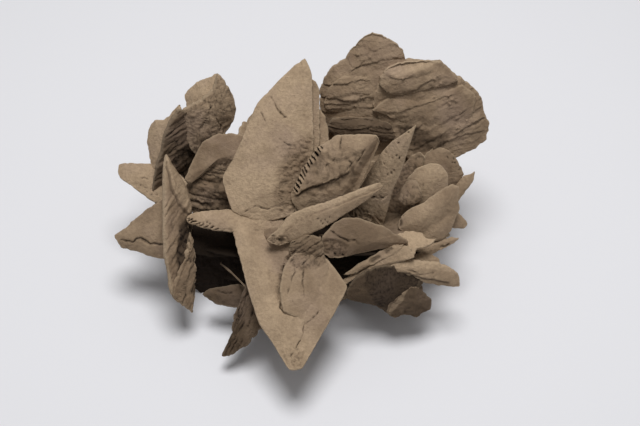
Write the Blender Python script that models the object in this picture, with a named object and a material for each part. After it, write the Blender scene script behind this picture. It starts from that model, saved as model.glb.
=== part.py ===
"""Gypsum sand rose: lens-shaped crystals that grew through one another into a single stone.

Metres, +Z up.  The rose stands on the plane z = 0, with its origin under the middle of its bounding box.

A crystal is a flat lens: a rim, which is a closed outline in a plane, and two faces that swell from it.
The crystals of the front are drawn on a sheet that stands square to a line of sight falling on the rose
from the front and above.  Each outline is laid from the eye onto its crystal's own plane, which is given
by a point of the sheet, the height of the crystal there, and the way its face looks.  The crystals of the
back and the foot are leaves, worked out from a root, a heading and a length.  All are joined in one solid,
which is cut flat where it rests.
"""

import math

import bmesh
import bpy
import numpy as np

# ---------------------------------------------------------------------------------------------------------
# Driving dimensions.  Metres and degrees, except on the drawing sheet and in the crystals' own measures,
# which are millimetres.
# ---------------------------------------------------------------------------------------------------------

ROSE = "sand_rose"
MILLIMETRE = 0.001

SHEET_MIDDLE = (320.0, 213.0)        # sheet point on the line of sight; x runs right and y down
SHEET_PLACE = (0.018, -0.006, 0.110)  # where that point is in the rose's frame
EYE_DISTANCE = 1.2                   # from the eye to the sheet
LOOK_DOWN = 50.0                     # the line of sight's angle below the horizon

THICKNESS = 12.0                     # of a drawn crystal at its middle, where nothing else is said
LAYER_THICKNESS = 7.0                # of a layer grown flat on another crystal
EDGE = 2.5                           # of the blunt edge just inside a rim
RIM_POINTS = 12                      # around a drawn crystal
LEAF_POINTS = 10                     # around a leaf
BANDS = 4                            # from pole to pole of the ball that a crystal is made from
BROAD_BANDS = 6                      # the same for a broad crystal
BROAD_POINTS = 24                    # a crystal with this many rim points or more is broad
LEAF_WAVE = 0.09                     # how far a leaf's outline waves, as a share of its half width
HEART = (0.0, 14.0, 50.0)            # the middle of the rose, where most of the leaves root
STAND = 20.0                         # the resting plane is this far under the level that heights count from

REST_CUT_DEPTH = 0.060               # how far the cutter reaches below the resting plane
REST_CUT_WIDTH = 0.600

STONE_COLOUR = (0.36, 0.27, 0.19, 1.0)
STONE_ROUGHNESS = 0.95


# ---------------------------------------------------------------------------------------------------------
# The drawing sheet
# ---------------------------------------------------------------------------------------------------------

down = math.radians(LOOK_DOWN)
SHEET_RIGHT = np.array((1.0, 0.0, 0.0))
SHEET_UP = np.array((0.0, math.sin(down), math.cos(down)))
TO_EYE = np.array((0.0, -math.cos(down), math.sin(down)))
EYE = np.array(SHEET_PLACE) + EYE_DISTANCE * TO_EYE


def sight(points):
    """Directions from the eye through points of the sheet, given in millimetres."""
    offsets = (np.atleast_2d(points) - np.array(SHEET_MIDDLE)) * MILLIMETRE
    places = np.array(SHEET_PLACE) + offsets[:, :1] * SHEET_RIGHT - offsets[:, 1:] * SHEET_UP
    return places - EYE


def facing(turn, tilt):
    """The unit normal that looks turn degrees round from the front towards +X, and tilt degrees upwards."""
    turn = math.radians(turn)
    tilt = math.radians(tilt)
    level = math.cos(tilt)
    return np.array((math.sin(turn) * level, -math.cos(turn) * level, math.sin(tilt)))


def point_at_height(sheet_point, height):
    """The point that the eye sees at a sheet point, at a height in millimetres."""
    ray = sight(sheet_point)[0]
    return EYE + ray * ((height + STAND) * MILLIMETRE - EYE[2]) / ray[2]


def lay_on_plane(points, place, normal):
    """Sheet points laid from the eye onto the plane through place."""
    rays = sight(points)
    reach = (place - EYE) @ normal / (rays @ normal)
    return EYE + reach[:, None] * rays


# ---------------------------------------------------------------------------------------------------------
# Crystals
# ---------------------------------------------------------------------------------------------------------

def smooth_closed(corners, count):
    """A closed curve through the corners, as count points shared out by the length between corners."""
    corners = np.asarray(corners, float)
    ahead = np.roll(corners, -1, axis=0)
    beyond = np.roll(corners, -2, axis=0)
    behind = np.roll(corners, 1, axis=0)
    spans = np.linalg.norm(ahead - corners, axis=1)
    marks = np.concatenate(([0.0], np.cumsum(spans)))
    wanted = np.linspace(0.0, marks[-1], count, endpoint=False)
    nearest = {int(np.argmin(np.abs(wanted - mark))): mark for mark in marks[:-1]}
    for index, mark in nearest.items():
        wanted[index] = mark
    piece = np.clip(np.searchsorted(marks, wanted, side="right") - 1, 0, len(corners) - 1)
    t = ((wanted - marks[piece]) / spans[piece])[:, None]
    p0, p1, p2, p3 = behind[piece], corners[piece], ahead[piece], beyond[piece]
    curve = p1 + 0.5 * t * (p2 - p0 + t * (2 * p0 - 5 * p1 + 4 * p2 - p3 + t * (3 * (p1 - p2) + p3 - p0)))
    straight = p1 + t * (p2 - p1)
    return 0.5 * (curve + straight)


def lens(name, rim, navel, normal, thickness, edge, bow=0.0):
    """A crystal: a ball whose equator is laid along the rim and whose rings shrink towards the navel.

    At a share r of the way from navel to rim, a face stands off the rim's plane by
    edge / 2 + (thickness - edge) / 2 * (1 - r squared), and the whole lens bows by bow * (1 - r squared).
    The rim runs anticlockwise about the normal, as the ball's points do about +Z, from the one on +Y.
    """
    turning = np.cross(rim - navel, np.roll(rim, -1, axis=0) - navel).sum(axis=0) @ normal
    if turning < 0:
        rim = rim[::-1]
    mesh = bmesh.new()
    bands = BROAD_BANDS if len(rim) >= BROAD_POINTS else BANDS
    bmesh.ops.create_uvsphere(mesh, u_segments=len(rim), v_segments=bands, radius=1.0)
    for vert in mesh.verts:
        x, y, z = vert.co
        share = min(math.hypot(x, y), 1.0)
        step = round(math.atan2(-x, y) / math.tau * len(rim)) % len(rim)
        swell = 1.0 - share * share
        stand = 0.0 if abs(z) < 1e-4 else math.copysign(edge / 2 + (thickness - edge) / 2 * swell, z)
        vert.co = navel + share * (rim[step] - navel) + (stand + bow * swell) * normal
    data = bpy.data.meshes.new(name)
    mesh.to_mesh(data)
    mesh.free()
    data.materials.append(stone)
    crystal = bpy.data.objects.new(name, data)
    crystal.hide_render = True
    crystal.display_type = "WIRE"
    crystals.objects.link(crystal)
    return crystal


def drawn(name, outline, at, height, turn, tilt, thickness=THICKNESS, edge=EDGE, bow=0.0, navel=None,
          points=RIM_POINTS):
    """A crystal drawn on the sheet; its plane passes the sheet point at, at a height in millimetres."""
    place = point_at_height(at, height)
    normal = facing(turn, tilt)
    planes[name] = (place, normal)
    laid_on(name, outline, place, normal, thickness, edge, bow, navel, points)


def layer(name, outline, of, step, thickness=LAYER_THICKNESS, edge=EDGE, bow=0.0, navel=None,
          points=RIM_POINTS):
    """A drawn crystal grown flat on another: step is how far it stands off the other's plane."""
    place, normal = planes[of]
    laid_on(name, outline, place + step * MILLIMETRE * normal, normal, thickness, edge, bow, navel, points)


def laid_on(name, outline, place, normal, thickness, edge, bow, navel, points):
    """Makes the lens of an outline on the sheet, in the plane through place."""
    rim = lay_on_plane(smooth_closed(outline, points), place, normal)
    middle = rim.mean(axis=0) if navel is None else lay_on_plane([navel], place, normal)[0]
    lens(name, rim, middle, normal, thickness * MILLIMETRE, edge * MILLIMETRE, bow * MILLIMETRE)


def leaf(name, heading, rise, roll, reach, width, thickness=THICKNESS, edge=EDGE, root=HEART,
         points=LEAF_POINTS, blunt=0.4, skew=0.0):
    """A leaf-shaped crystal that grows from a root.

    Heading turns it from the front towards +X, rise lifts it from the horizontal and roll turns it about
    its own length, all in degrees.  Along the leaf the outline runs as reach * (1 + cos a) / 2.  Across it
    goes as the sine of a, with a wave, and narrows towards the tip by the sine of a / 2 to a power that is
    smaller for a blunt leaf.  Skew carries the tip sideways by the square of the distance along.
    """
    along = facing(heading, rise)
    level = np.cross((0.0, 0.0, 1.0), along)
    level /= np.linalg.norm(level)
    turned = math.radians(roll)
    across = math.cos(turned) * level + math.sin(turned) * np.cross(along, level)
    normal = np.cross(along, across)
    a = np.linspace(0.0, math.tau, points, endpoint=False)
    wave = 1.0 + LEAF_WAVE * np.sin(3.0 * a + math.radians(heading + 40.0 * rise))
    share = (1.0 + np.cos(a)) / 2.0
    narrowing = np.abs(np.sin(a / 2.0)) ** (1.0 - blunt)
    sideways = width / 2.0 * (1.3 - 0.3 * blunt) * np.sin(a) * narrowing * wave
    sideways += skew * share ** 2
    foot = np.array(root) + (0.0, 0.0, STAND)
    rim = (foot + reach * share[:, None] * along + sideways[:, None] * across) * MILLIMETRE
    lens(name, rim, rim.mean(axis=0), normal, thickness * MILLIMETRE, edge * MILLIMETRE)


def tall_crystals():
    """The tall leaf that leans back over the middle, with the layers behind its right edge."""
    drawn("tall_leaf", at=(240, 212), height=84, turn=-4, tilt=50, thickness=15, points=24, navel=(268, 165),
          outline=[(305, 58), (286, 73), (256, 105), (237, 150), (223, 176), (225, 192), (232, 211),
                   (240, 216), (262, 222), (292, 216), (306, 190), (314, 145), (313, 110), (312, 75)])
    layer("tall_second", of="tall_leaf", step=-7, thickness=8,
          outline=[(306, 76), (313, 79), (318, 84), (320, 100), (320, 144), (314, 180), (295, 205),
                   (270, 190), (275, 130), (290, 100)])
    layer("tall_third", of="tall_leaf", step=-13, thickness=8, points=10,
          outline=[(310, 104), (320, 109), (326, 118), (329, 133), (328, 150), (318, 185), (298, 205),
                   (280, 180), (290, 130)])
    drawn("tall_lobe", at=(262, 130), height=133, turn=-10, tilt=44, thickness=10, points=10,
          outline=[(245, 126), (248, 118), (257, 110), (272, 112), (282, 130), (272, 150), (255, 148),
                   (247, 134)])


def front_crystals():
    """The broad leaf that hangs down in front, the plate on it, and the bar that crosses above them."""
    drawn("front_leaf", at=(250, 222), height=78, turn=-4, tilt=74, thickness=16, bow=-3, points=24,
          navel=(278, 285),
          outline=[(228, 215), (245, 216), (262, 225), (290, 236), (318, 248), (335, 268), (347, 286),
                   (345, 294), (330, 321), (310, 356), (302, 369), (289, 370), (272, 343), (259, 324),
                   (249, 294), (241, 264), (233, 234)])
    drawn("front_plate", at=(305, 290), height=64, turn=8, tilt=68, thickness=12, points=16,
          outline=[(296, 240), (289, 257), (283, 269), (279, 287), (280, 299), (286, 313), (304, 322),
                   (318, 311), (334, 297), (337, 284), (331, 268), (326, 250), (312, 238)])
    drawn("front_crest", at=(262, 222), height=86, turn=10, tilt=60, thickness=13,
          outline=[(241, 217), (252, 211), (264, 210), (276, 216), (290, 222), (284, 236), (270, 240),
                   (256, 228)])
    drawn("cross_bar", at=(330, 212), height=106, turn=0, tilt=40, thickness=9, edge=5, points=18,
          navel=(326, 214),
          outline=[(266, 240), (276, 230), (290, 214), (310, 206), (330, 200), (354, 191), (370, 185),
                   (380, 182), (383, 186), (378, 191), (365, 202), (347, 213), (334, 222), (317, 231),
                   (296, 240), (278, 246)])
    drawn("hollow_left", at=(280, 245), height=72, turn=-40, tilt=40, thickness=12, points=10,
          outline=[(262, 232), (274, 226), (300, 228), (318, 240), (312, 262), (294, 268), (276, 262),
                   (266, 248)])
    drawn("hollow_rough", at=(306, 246), height=74, turn=5, tilt=45, thickness=12, points=10,
          outline=[(288, 250), (294, 238), (308, 232), (326, 234), (332, 246), (326, 258), (308, 264),
                   (294, 262)])


def middle_crystals():
    """The toothed block beside the tall leaf and the spike that rises behind its right side."""
    drawn("toothed_block", at=(335, 165), height=130, turn=-12, tilt=38, thickness=24, edge=5, points=16,
          navel=(336, 168),
          outline=[(291, 192), (298, 177), (306, 163), (317, 147), (330, 139), (337, 135), (360, 134),
                   (376, 135), (380, 141), (376, 152), (370, 166), (364, 179), (355, 195), (340, 205),
                   (318, 214), (300, 212), (292, 202)])
    drawn("block_foot", at=(325, 198), height=100, turn=-5, tilt=42, thickness=16, points=10,
          outline=[(294, 208), (300, 196), (318, 186), (345, 172), (358, 176), (356, 196), (338, 212),
                   (310, 222), (296, 220)])
    drawn("spike", at=(385, 185), height=104, turn=-20, tilt=22, thickness=9, edge=2, points=16,
          navel=(383, 180),
          outline=[(416, 125), (406, 132), (392, 141), (382, 152), (370, 170), (363, 182), (352, 200),
                   (348, 214), (360, 222), (382, 228), (393, 191), (402, 170), (408, 151), (414, 132)])


def slab_crystals():
    """The slab that stands at the back, built up of plates and lobes whose ledges run across it."""
    drawn("slab_back", at=(350, 150), height=88, turn=-8, tilt=28, thickness=24, edge=4, points=24,
          navel=(358, 95),
          outline=[(372, 32), (364, 36), (349, 50), (346, 57), (332, 66), (322, 80), (319, 92),
                   (320, 118), (326, 150), (340, 185), (370, 185), (395, 140), (405, 110), (409, 70),
                   (403, 50), (395, 42), (383, 36)])
    drawn("slab_front", at=(430, 110), height=130, turn=6, tilt=30, thickness=24, edge=10, points=24,
          navel=(430, 108),
          outline=[(372, 104), (376, 84), (388, 66), (409, 58), (428, 61), (441, 60), (451, 70),
                   (462, 77), (477, 90), (482, 97), (483, 109), (489, 122), (485, 139), (479, 145),
                   (460, 155), (445, 166), (420, 170), (398, 150), (382, 128)])
    layer("slab_lobe", of="slab_front", step=8, thickness=15, edge=8,
          outline=[(381, 74), (390, 64), (404, 63), (424, 65), (436, 72), (430, 82), (414, 90),
                   (402, 93), (389, 92), (381, 87), (378, 80)])
    layer("slab_step", of="slab_front", step=6, thickness=17, edge=6,
          outline=[(372, 110), (386, 98), (412, 96), (440, 90), (462, 84), (476, 96), (470, 118),
                   (448, 132), (428, 134), (416, 127), (400, 121), (383, 114)])
    layer("slab_ledge", of="slab_back", step=6, thickness=16, edge=5,
          outline=[(324, 102), (330, 84), (344, 74), (366, 74), (382, 84), (380, 104), (362, 112),
                   (340, 114), (327, 110)])
    layer("slab_sill", of="slab_back", step=8, thickness=18, edge=6,
          outline=[(326, 128), (332, 118), (350, 114), (376, 116), (396, 124), (400, 136), (384, 142),
                   (356, 138), (336, 138)])
    layer("slab_rear_scale", of="slab_back", step=-9, thickness=15, edge=5, points=10,
          outline=[(336, 78), (352, 60), (376, 58), (394, 78), (392, 112), (372, 140), (346, 128),
                   (332, 104)])
    layer("slab_rear_step", of="slab_front", step=-9, thickness=15, edge=6, points=10,
          outline=[(408, 82), (430, 74), (456, 86), (472, 108), (464, 134), (440, 148), (414, 138),
                   (402, 110)])


def right_crystals():
    """The rosette of rounded plates on the right, with the shards behind it."""
    drawn("right_rear", at=(440, 165), height=86, turn=15, tilt=35, thickness=14,
          outline=[(420, 160), (424, 156), (432, 148), (443, 147), (453, 153), (459, 163), (464, 174),
                   (461, 183), (450, 200), (430, 204), (414, 190)])
    drawn("right_root", at=(400, 190), height=84, turn=-25, tilt=35, thickness=16, points=10,
          outline=[(384, 218), (392, 190), (400, 170), (412, 158), (426, 152), (436, 164), (430, 190),
                   (416, 214), (402, 228), (388, 230)])
    drawn("right_round", at=(430, 180), height=92, turn=5, tilt=38, thickness=13,
          outline=[(407, 180), (409, 176), (417, 168), (431, 163), (441, 165), (448, 174), (448, 186),
                   (440, 200), (424, 208), (410, 202)])
    drawn("right_block", at=(412, 190), height=93, turn=-5, tilt=40, thickness=14, edge=5, points=10,
          outline=[(400, 190), (407, 181), (416, 180), (421, 188), (422, 198), (416, 206), (404, 206),
                   (398, 200)])
    drawn("right_plate", at=(430, 212), height=80, turn=15, tilt=40, thickness=13, points=16,
          outline=[(398, 228), (401, 216), (411, 208), (424, 202), (437, 192), (451, 184), (459, 186),
                   (458, 198), (460, 208), (456, 219), (451, 231), (441, 240), (424, 242), (408, 238)])
    drawn("right_shard", at=(466, 185), height=69, turn=-25, tilt=40, thickness=6, edge=2, points=10,
          outline=[(475, 171), (473, 182), (459, 201), (444, 218), (432, 214), (446, 192), (464, 176)])
    drawn("right_chip", at=(460, 222), height=60, turn=20, tilt=50, thickness=8, edge=3, points=10,
          outline=[(458, 212), (464, 218), (468, 224), (464, 229), (448, 228), (426, 222), (434, 212)])
    drawn("lower_leaf", at=(365, 238), height=84, turn=10, tilt=36, thickness=14, points=18,
          outline=[(321, 252), (322, 236), (334, 223), (344, 218), (354, 217), (365, 220), (384, 226),
                   (396, 234), (406, 239), (408, 243), (392, 247), (376, 250), (357, 254), (341, 258),
                   (330, 258)])
    drawn("pale_plate", at=(412, 243), height=70, turn=0, tilt=78, thickness=7, edge=3,
          outline=[(390, 248), (396, 236), (402, 232), (411, 231), (423, 234), (426, 238), (437, 239),
                   (431, 246), (419, 250), (414, 256), (404, 258), (394, 256)])
    drawn("long_prong", at=(370, 262), height=60, turn=-25, tilt=48, thickness=9, edge=4, points=16,
          outline=[(335, 286), (350, 274), (366, 262), (384, 250), (396, 244), (412, 248), (414, 258),
                   (400, 262), (386, 268), (370, 275), (352, 281), (342, 287)])
    drawn("short_prong", at=(372, 258), height=66, turn=-20, tilt=50, thickness=7, edge=3,
          outline=[(343, 275), (356, 265), (374, 254), (391, 246), (404, 244), (400, 252), (384, 260),
                   (368, 268), (352, 275)])
    drawn("end_bar", at=(430, 273), height=52, turn=10, tilt=34, thickness=11, edge=5, points=14,
          outline=[(388, 266), (400, 260), (418, 260), (438, 262), (450, 267), (458, 273), (460, 279),
                   (459, 286), (444, 286), (424, 282), (410, 275), (394, 272)])
    drawn("right_finger", at=(445, 243), height=55, turn=-10, tilt=50, thickness=8, edge=3,
          outline=[(459, 238), (455, 243), (446, 248), (434, 254), (420, 258), (404, 258), (396, 250),
                   (410, 244), (424, 243), (437, 241), (451, 237)])
    drawn("finger_ledge", at=(425, 258), height=50, turn=0, tilt=60, thickness=9, edge=3, points=10,
          outline=[(404, 264), (412, 255), (426, 252), (439, 258), (440, 263), (430, 274), (408, 272)])


def left_crystals():
    """The crown of the left side, the tall narrow blade before it, and the leaves that point outwards."""
    drawn("crown_pale", at=(200, 90), height=146, turn=-42, tilt=45, thickness=12,
          outline=[(217, 73), (211, 76), (197, 82), (190, 88), (185, 94), (186, 104), (190, 120),
                   (202, 130), (216, 118), (222, 92)])
    drawn("crown_rough", at=(212, 110), height=138, turn=15, tilt=24, thickness=20, edge=5, points=16,
          navel=(212, 108),
          outline=[(217, 73), (222, 76), (227, 84), (232, 93), (235, 101), (236, 111), (234, 121),
                   (226, 133), (222, 150), (208, 160), (192, 152), (182, 130), (180, 112), (192, 104),
                   (207, 94), (214, 84)])
    drawn("dark_blade", at=(175, 150), height=104, turn=38, tilt=8, thickness=14, edge=3, points=18,
          navel=(178, 152),
          outline=[(177, 110), (170, 120), (165, 131), (162, 144), (159, 155), (155, 167), (153, 182),
                   (152, 196), (160, 214), (172, 232), (188, 226), (192, 200), (200, 170), (204, 140),
                   (196, 118), (186, 110)])
    drawn("outer_pale", at=(163, 135), height=106, turn=-45, tilt=40, thickness=9,
          outline=[(180, 104), (170, 115), (164, 119), (155, 120), (150, 126), (148, 134), (147, 142),
                   (150, 156), (152, 168), (166, 180), (182, 160), (188, 126)])
    drawn("smooth_shelf", at=(215, 158), height=106, turn=0, tilt=46, thickness=12, points=14,
          outline=[(216, 135), (228, 134), (246, 135), (262, 146), (256, 164), (238, 164), (215, 166),
                   (203, 174), (192, 184), (184, 181), (190, 168), (198, 156), (207, 144)])
    drawn("rough_wall", at=(215, 190), height=74, turn=5, tilt=22, thickness=18, edge=5,
          outline=[(186, 186), (192, 180), (204, 168), (222, 158), (244, 164), (250, 190), (246, 214),
                   (226, 226), (200, 222), (188, 206)])
    drawn("narrow_blade", at=(176, 230), height=72, turn=60, tilt=35, thickness=12, edge=4, points=18,
          navel=(176, 222),
          outline=[(166, 154), (164, 162), (163, 182), (163, 212), (163, 235), (164, 257), (168, 272),
                   (169, 285), (171, 294), (178, 300), (186, 296), (188, 270), (190, 246), (192, 226),
                   (191, 206), (187, 190), (181, 178), (171, 163)])
    drawn("narrow_foot", at=(186, 290), height=31, turn=52, tilt=34, thickness=10, edge=3,
          outline=[(186, 258), (178, 270), (173, 284), (172, 296), (177, 302), (185, 307), (192, 313),
                   (195, 296), (196, 276), (194, 262)])
    drawn("outer_leaf", at=(140, 178), height=72, turn=-10, tilt=62, thickness=9, edge=3, points=16,
          outline=[(118, 172), (119, 165), (125, 163), (140, 163), (156, 164), (176, 170), (190, 186),
                   (184, 206), (166, 208), (150, 200), (140, 193), (128, 184), (120, 178)])
    drawn("lower_outer", at=(145, 232), height=56, turn=-15, tilt=48, thickness=15, edge=4, points=18,
          outline=[(114, 235), (127, 227), (131, 222), (142, 213), (154, 204), (166, 198), (184, 208),
                   (190, 232), (182, 256), (164, 259), (155, 258), (145, 255), (134, 251), (122, 248),
                   (118, 242)])
    drawn("pitted_shelf", at=(210, 220), height=79, turn=-5, tilt=74, thickness=9, edge=3, points=16,
          outline=[(186, 220), (188, 216), (197, 212), (217, 210), (236, 209), (256, 214), (258, 228),
                   (244, 234), (231, 233), (211, 230), (200, 227), (188, 223)])


def foot_crystals():
    """The crystals round the foot: the dark wall of the left hollow and what the rose stands on."""
    drawn("hollow_wall", at=(225, 255), height=16, turn=12, tilt=24, thickness=16, points=10,
          outline=[(188, 226), (205, 218), (232, 216), (256, 222), (268, 250), (272, 284), (262, 300),
                   (236, 300), (208, 298), (192, 286), (186, 256)])
    drawn("thin_edge", at=(217, 260), height=9, turn=-76, tilt=26, thickness=6, edge=2, points=10,
          outline=[(217, 260), (229, 269), (243, 283), (253, 294), (252, 298), (240, 290), (226, 277),
                   (215, 265)])
    drawn("foot_left", at=(222, 296), height=21, turn=-10, tilt=55, thickness=12, edge=4, points=10,
          outline=[(202, 294), (210, 288), (222, 286), (238, 284), (254, 288), (256, 302), (240, 308),
                   (224, 307), (212, 302)])
    drawn("foot_fan", at=(244, 320), height=27, turn=-22, tilt=50, thickness=12, edge=4, points=18,
          navel=(250, 306),
          outline=[(252, 274), (246, 284), (239, 302), (233, 318), (231, 333), (226, 346), (222, 356),
                   (229, 357), (237, 352), (249, 344), (260, 332), (274, 314), (280, 292), (276, 270),
                   (262, 262)])
    drawn("dark_lens", at=(386, 294), height=36, turn=8, tilt=26, thickness=16, edge=3, points=14,
          navel=(386, 292),
          outline=[(346, 298), (347, 288), (356, 276), (376, 266), (398, 264), (417, 272), (424, 279),
                   (419, 288), (409, 300), (396, 310), (386, 313), (376, 306), (362, 303)])
    drawn("dark_foot", at=(412, 304), height=26, turn=14, tilt=34, thickness=14, edge=3,
          outline=[(390, 300), (398, 286), (410, 278), (422, 284), (424, 291), (432, 300), (431, 309),
                   (423, 313), (416, 318), (404, 314), (394, 318), (386, 312)])
    leaf("base", heading=4, rise=0, roll=0, reach=122, width=124, thickness=26, edge=6, root=(6, 74, -12),
         blunt=0.9)
    leaf("heart_left", heading=-62, rise=22, roll=34, reach=96, width=84, thickness=28, root=(0, 34, 46),
         points=8)
    leaf("heart_right", heading=60, rise=14, roll=-24, reach=104, width=90, thickness=30, points=8)
    leaf("block_root", heading=94, rise=62, roll=0, reach=76, width=46, thickness=18, blunt=0.9, points=8)
    leaf("heart_front", heading=0, rise=30, roll=15, reach=74, width=90, thickness=37, root=(0, 14, 36),
         points=8)
    leaf("left_root", heading=-73, rise=6, roll=-35, reach=122, width=50, thickness=14, root=(-22, 24, 40),
         blunt=0.9, points=8)
    leaf("right_core", heading=100, rise=10, roll=-28, reach=136, width=92, thickness=34,
         root=(20, 6, 46), blunt=0.7, points=8)
    leaf("right_keel", heading=72, rise=5, roll=12, reach=112, width=74, thickness=26, root=(20, -6, 35),
         blunt=0.6, points=8)


def low_crystals():
    """The leaves under the rose, which fall outwards from its heart to the resting plane."""
    leaf("low_front", heading=-12, rise=-25, roll=12, reach=112, width=72, thickness=18, root=(0, 18, 34),
         points=8)
    leaf("low_left", heading=-78, rise=-20, roll=-16, reach=120, width=72, thickness=17, root=(-6, 22, 34),
         points=8)
    leaf("low_right", heading=74, rise=-19, roll=14, reach=118, width=72, thickness=17, root=(6, 20, 32),
         points=8)
    leaf("low_rear_left", heading=-142, rise=-19, roll=10, reach=120, width=74, thickness=16,
         root=(-4, 24, 34), points=8)
    leaf("low_rear_right", heading=137, rise=-17, roll=-14, reach=125, width=74, thickness=16,
         root=(4, 24, 34), points=8)


def back_crystals():
    """The far side, a rosette of leaves that fan out behind the slab and the crown."""
    leaf("rear_low_right", heading=142, rise=1, roll=9, reach=158, width=96, thickness=15,
         root=(10, 18, 9), blunt=0.5, skew=14)
    leaf("rear_low_left", heading=219, rise=2, roll=-10, reach=150, width=92, thickness=14,
         root=(-16, 22, 9), blunt=0.7, skew=-10)
    leaf("rear_middle", heading=184, rise=11, roll=24, reach=134, width=104, thickness=17,
         root=(4, 28, 26), blunt=0.8, skew=12)
    leaf("rear_upright", heading=158, rise=34, roll=-48, reach=140, width=92, thickness=16,
         root=(4, 24, 34), blunt=0.3, skew=-16)
    leaf("rear_leaning", heading=206, rise=38, roll=38, reach=122, width=86, thickness=13,
         root=(-14, 20, 34), blunt=0.5, skew=10)
    leaf("rear_right_fin", heading=114, rise=17, roll=64, reach=150, width=86, thickness=12,
         root=(4, 18, 32), blunt=0.2, skew=8)
    leaf("rear_left_fin", heading=243, rise=15, roll=-60, reach=140, width=78, thickness=13,
         root=(-6, 16, 32), blunt=0.3, skew=-12)
    leaf("rear_small_fin", heading=172, rise=20, roll=74, reach=118, width=62, thickness=9,
         root=(-2, 28, 40), blunt=0.1)
    leaf("right_under", heading=98, rise=4, roll=-24, reach=142, width=78, thickness=12,
         root=(14, 0, 20), blunt=0.4, skew=-8)
    leaf("left_under", heading=262, rise=6, roll=28, reach=126, width=72, thickness=13,
         root=(-22, 6, 18), blunt=0.6, skew=8)
    leaf("rear_chip_right", heading=128, rise=26, roll=20, reach=112, width=52, thickness=8,
         root=(20, 20, 44), blunt=0.5)
    leaf("rear_chip_left", heading=232, rise=24, roll=12, reach=116, width=50, thickness=8,
         root=(-20, 18, 42), blunt=0.3)


def join_crystals():
    """The rose: every crystal united with the base, and the whole cut flat where it rests."""
    first = crystals.objects["base"]
    rose = bpy.data.objects.new(ROSE, first.data.copy())
    bpy.data.objects.remove(first)
    stone_collection.objects.link(rose)
    union = rose.modifiers.new("grow_together", "BOOLEAN")
    union.operation = "UNION"
    union.operand_type = "COLLECTION"
    union.collection = crystals
    mesh = bmesh.new()
    bmesh.ops.create_cube(mesh, size=1.0)
    bmesh.ops.scale(mesh, verts=mesh.verts, vec=(REST_CUT_WIDTH, REST_CUT_WIDTH, REST_CUT_DEPTH))
    bmesh.ops.translate(mesh, verts=mesh.verts, vec=(0.0, 0.0, -REST_CUT_DEPTH / 2))
    data = bpy.data.meshes.new("rest_cut")
    mesh.to_mesh(data)
    mesh.free()
    block = bpy.data.objects.new("rest_cut", data)
    block.hide_render = True
    block.display_type = "WIRE"
    cutters.objects.link(block)
    flat = rose.modifiers.new("rest_flat", "BOOLEAN")
    flat.operation = "DIFFERENCE"
    flat.object = block


def collection(name):
    """A new collection in the scene."""
    made = bpy.data.collections.new(name)
    bpy.context.scene.collection.children.link(made)
    return made


for thing in list(bpy.data.objects):
    bpy.data.objects.remove(thing)

stone = bpy.data.materials.new("sand_gypsum")
stone.use_nodes = True
shader = stone.node_tree.nodes["Principled BSDF"]
shader.inputs["Base Color"].default_value = STONE_COLOUR
shader.inputs["Roughness"].default_value = STONE_ROUGHNESS
shader.inputs["Metallic"].default_value = 0.0

stone_collection = collection(ROSE)
crystals = collection("single_crystals")
cutters = collection("cutters")
planes = {}              # of every drawn crystal: a point on it and its normal

tall_crystals()
front_crystals()
middle_crystals()
slab_crystals()
right_crystals()
left_crystals()
foot_crystals()
low_crystals()
back_crystals()
join_crystals()
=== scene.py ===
"""Gypsum sand rose, dressed: every crystal at a fine scale, with its broken rim, ledges, cracks and pits.

Metres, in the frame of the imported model; measures of the crystals are in millimetres.  A crystal is a flat
lens whose rim is drawn on a sheet square to a line of sight, or worked out as a leaf.  The crystals of each
part of the rose are grown together into one closed piece, in sandy gypsum.
"""

import math
from typing import NamedTuple

import bmesh
import bpy
import numpy as np
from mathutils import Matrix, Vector


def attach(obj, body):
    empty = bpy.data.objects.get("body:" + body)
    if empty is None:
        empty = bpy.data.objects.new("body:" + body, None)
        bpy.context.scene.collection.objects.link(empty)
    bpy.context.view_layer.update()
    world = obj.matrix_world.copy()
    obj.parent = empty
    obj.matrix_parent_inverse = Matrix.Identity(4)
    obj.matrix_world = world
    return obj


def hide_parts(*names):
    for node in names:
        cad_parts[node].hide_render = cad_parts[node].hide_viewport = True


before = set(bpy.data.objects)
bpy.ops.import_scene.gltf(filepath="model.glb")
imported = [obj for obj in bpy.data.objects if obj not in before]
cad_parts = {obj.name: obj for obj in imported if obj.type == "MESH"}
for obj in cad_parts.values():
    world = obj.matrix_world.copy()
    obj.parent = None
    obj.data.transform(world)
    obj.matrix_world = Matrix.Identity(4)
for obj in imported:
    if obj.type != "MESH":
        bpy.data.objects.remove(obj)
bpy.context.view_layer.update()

# ---------------------------------------------------------------------------------------------------------
# Driving dimensions
# ---------------------------------------------------------------------------------------------------------

NODE = "sand_rose"
MILLIMETRE = 0.001

SHEET_MIDDLE = (320.0, 213.0)        # sheet point on the line of sight; x runs right and y down
SHEET_PLACE = (0.018, -0.006, 0.110)  # where that point is
EYE_DISTANCE = 1.2                   # from the eye to the sheet
LOOK_DOWN = 50.0                     # the line of sight's angle below the horizon
PICTURE_WIDTH = 640.0                # of the sheet that the camera takes in, in millimetres
SENSOR_WIDTH = 36.0
CLIP = (0.05, 20.0)                  # what the camera sees lies between these distances

THICKNESS = 12.0                     # of a drawn crystal at its middle, where nothing else is said
EDGE = 2.5                           # of the blunt edge round a rim
LEAF_WAVE = 0.09                     # how far a leaf's outline waves, as a share of its half width
HEART = (0.0, 14.0, 50.0)            # the middle of the rose, where most of the leaves root
STAND = 20.0                         # the resting plane is this far under the level that heights count from
REST_CUT_DEPTH = 0.060               # how far below the resting plane the foot is cut away

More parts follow.
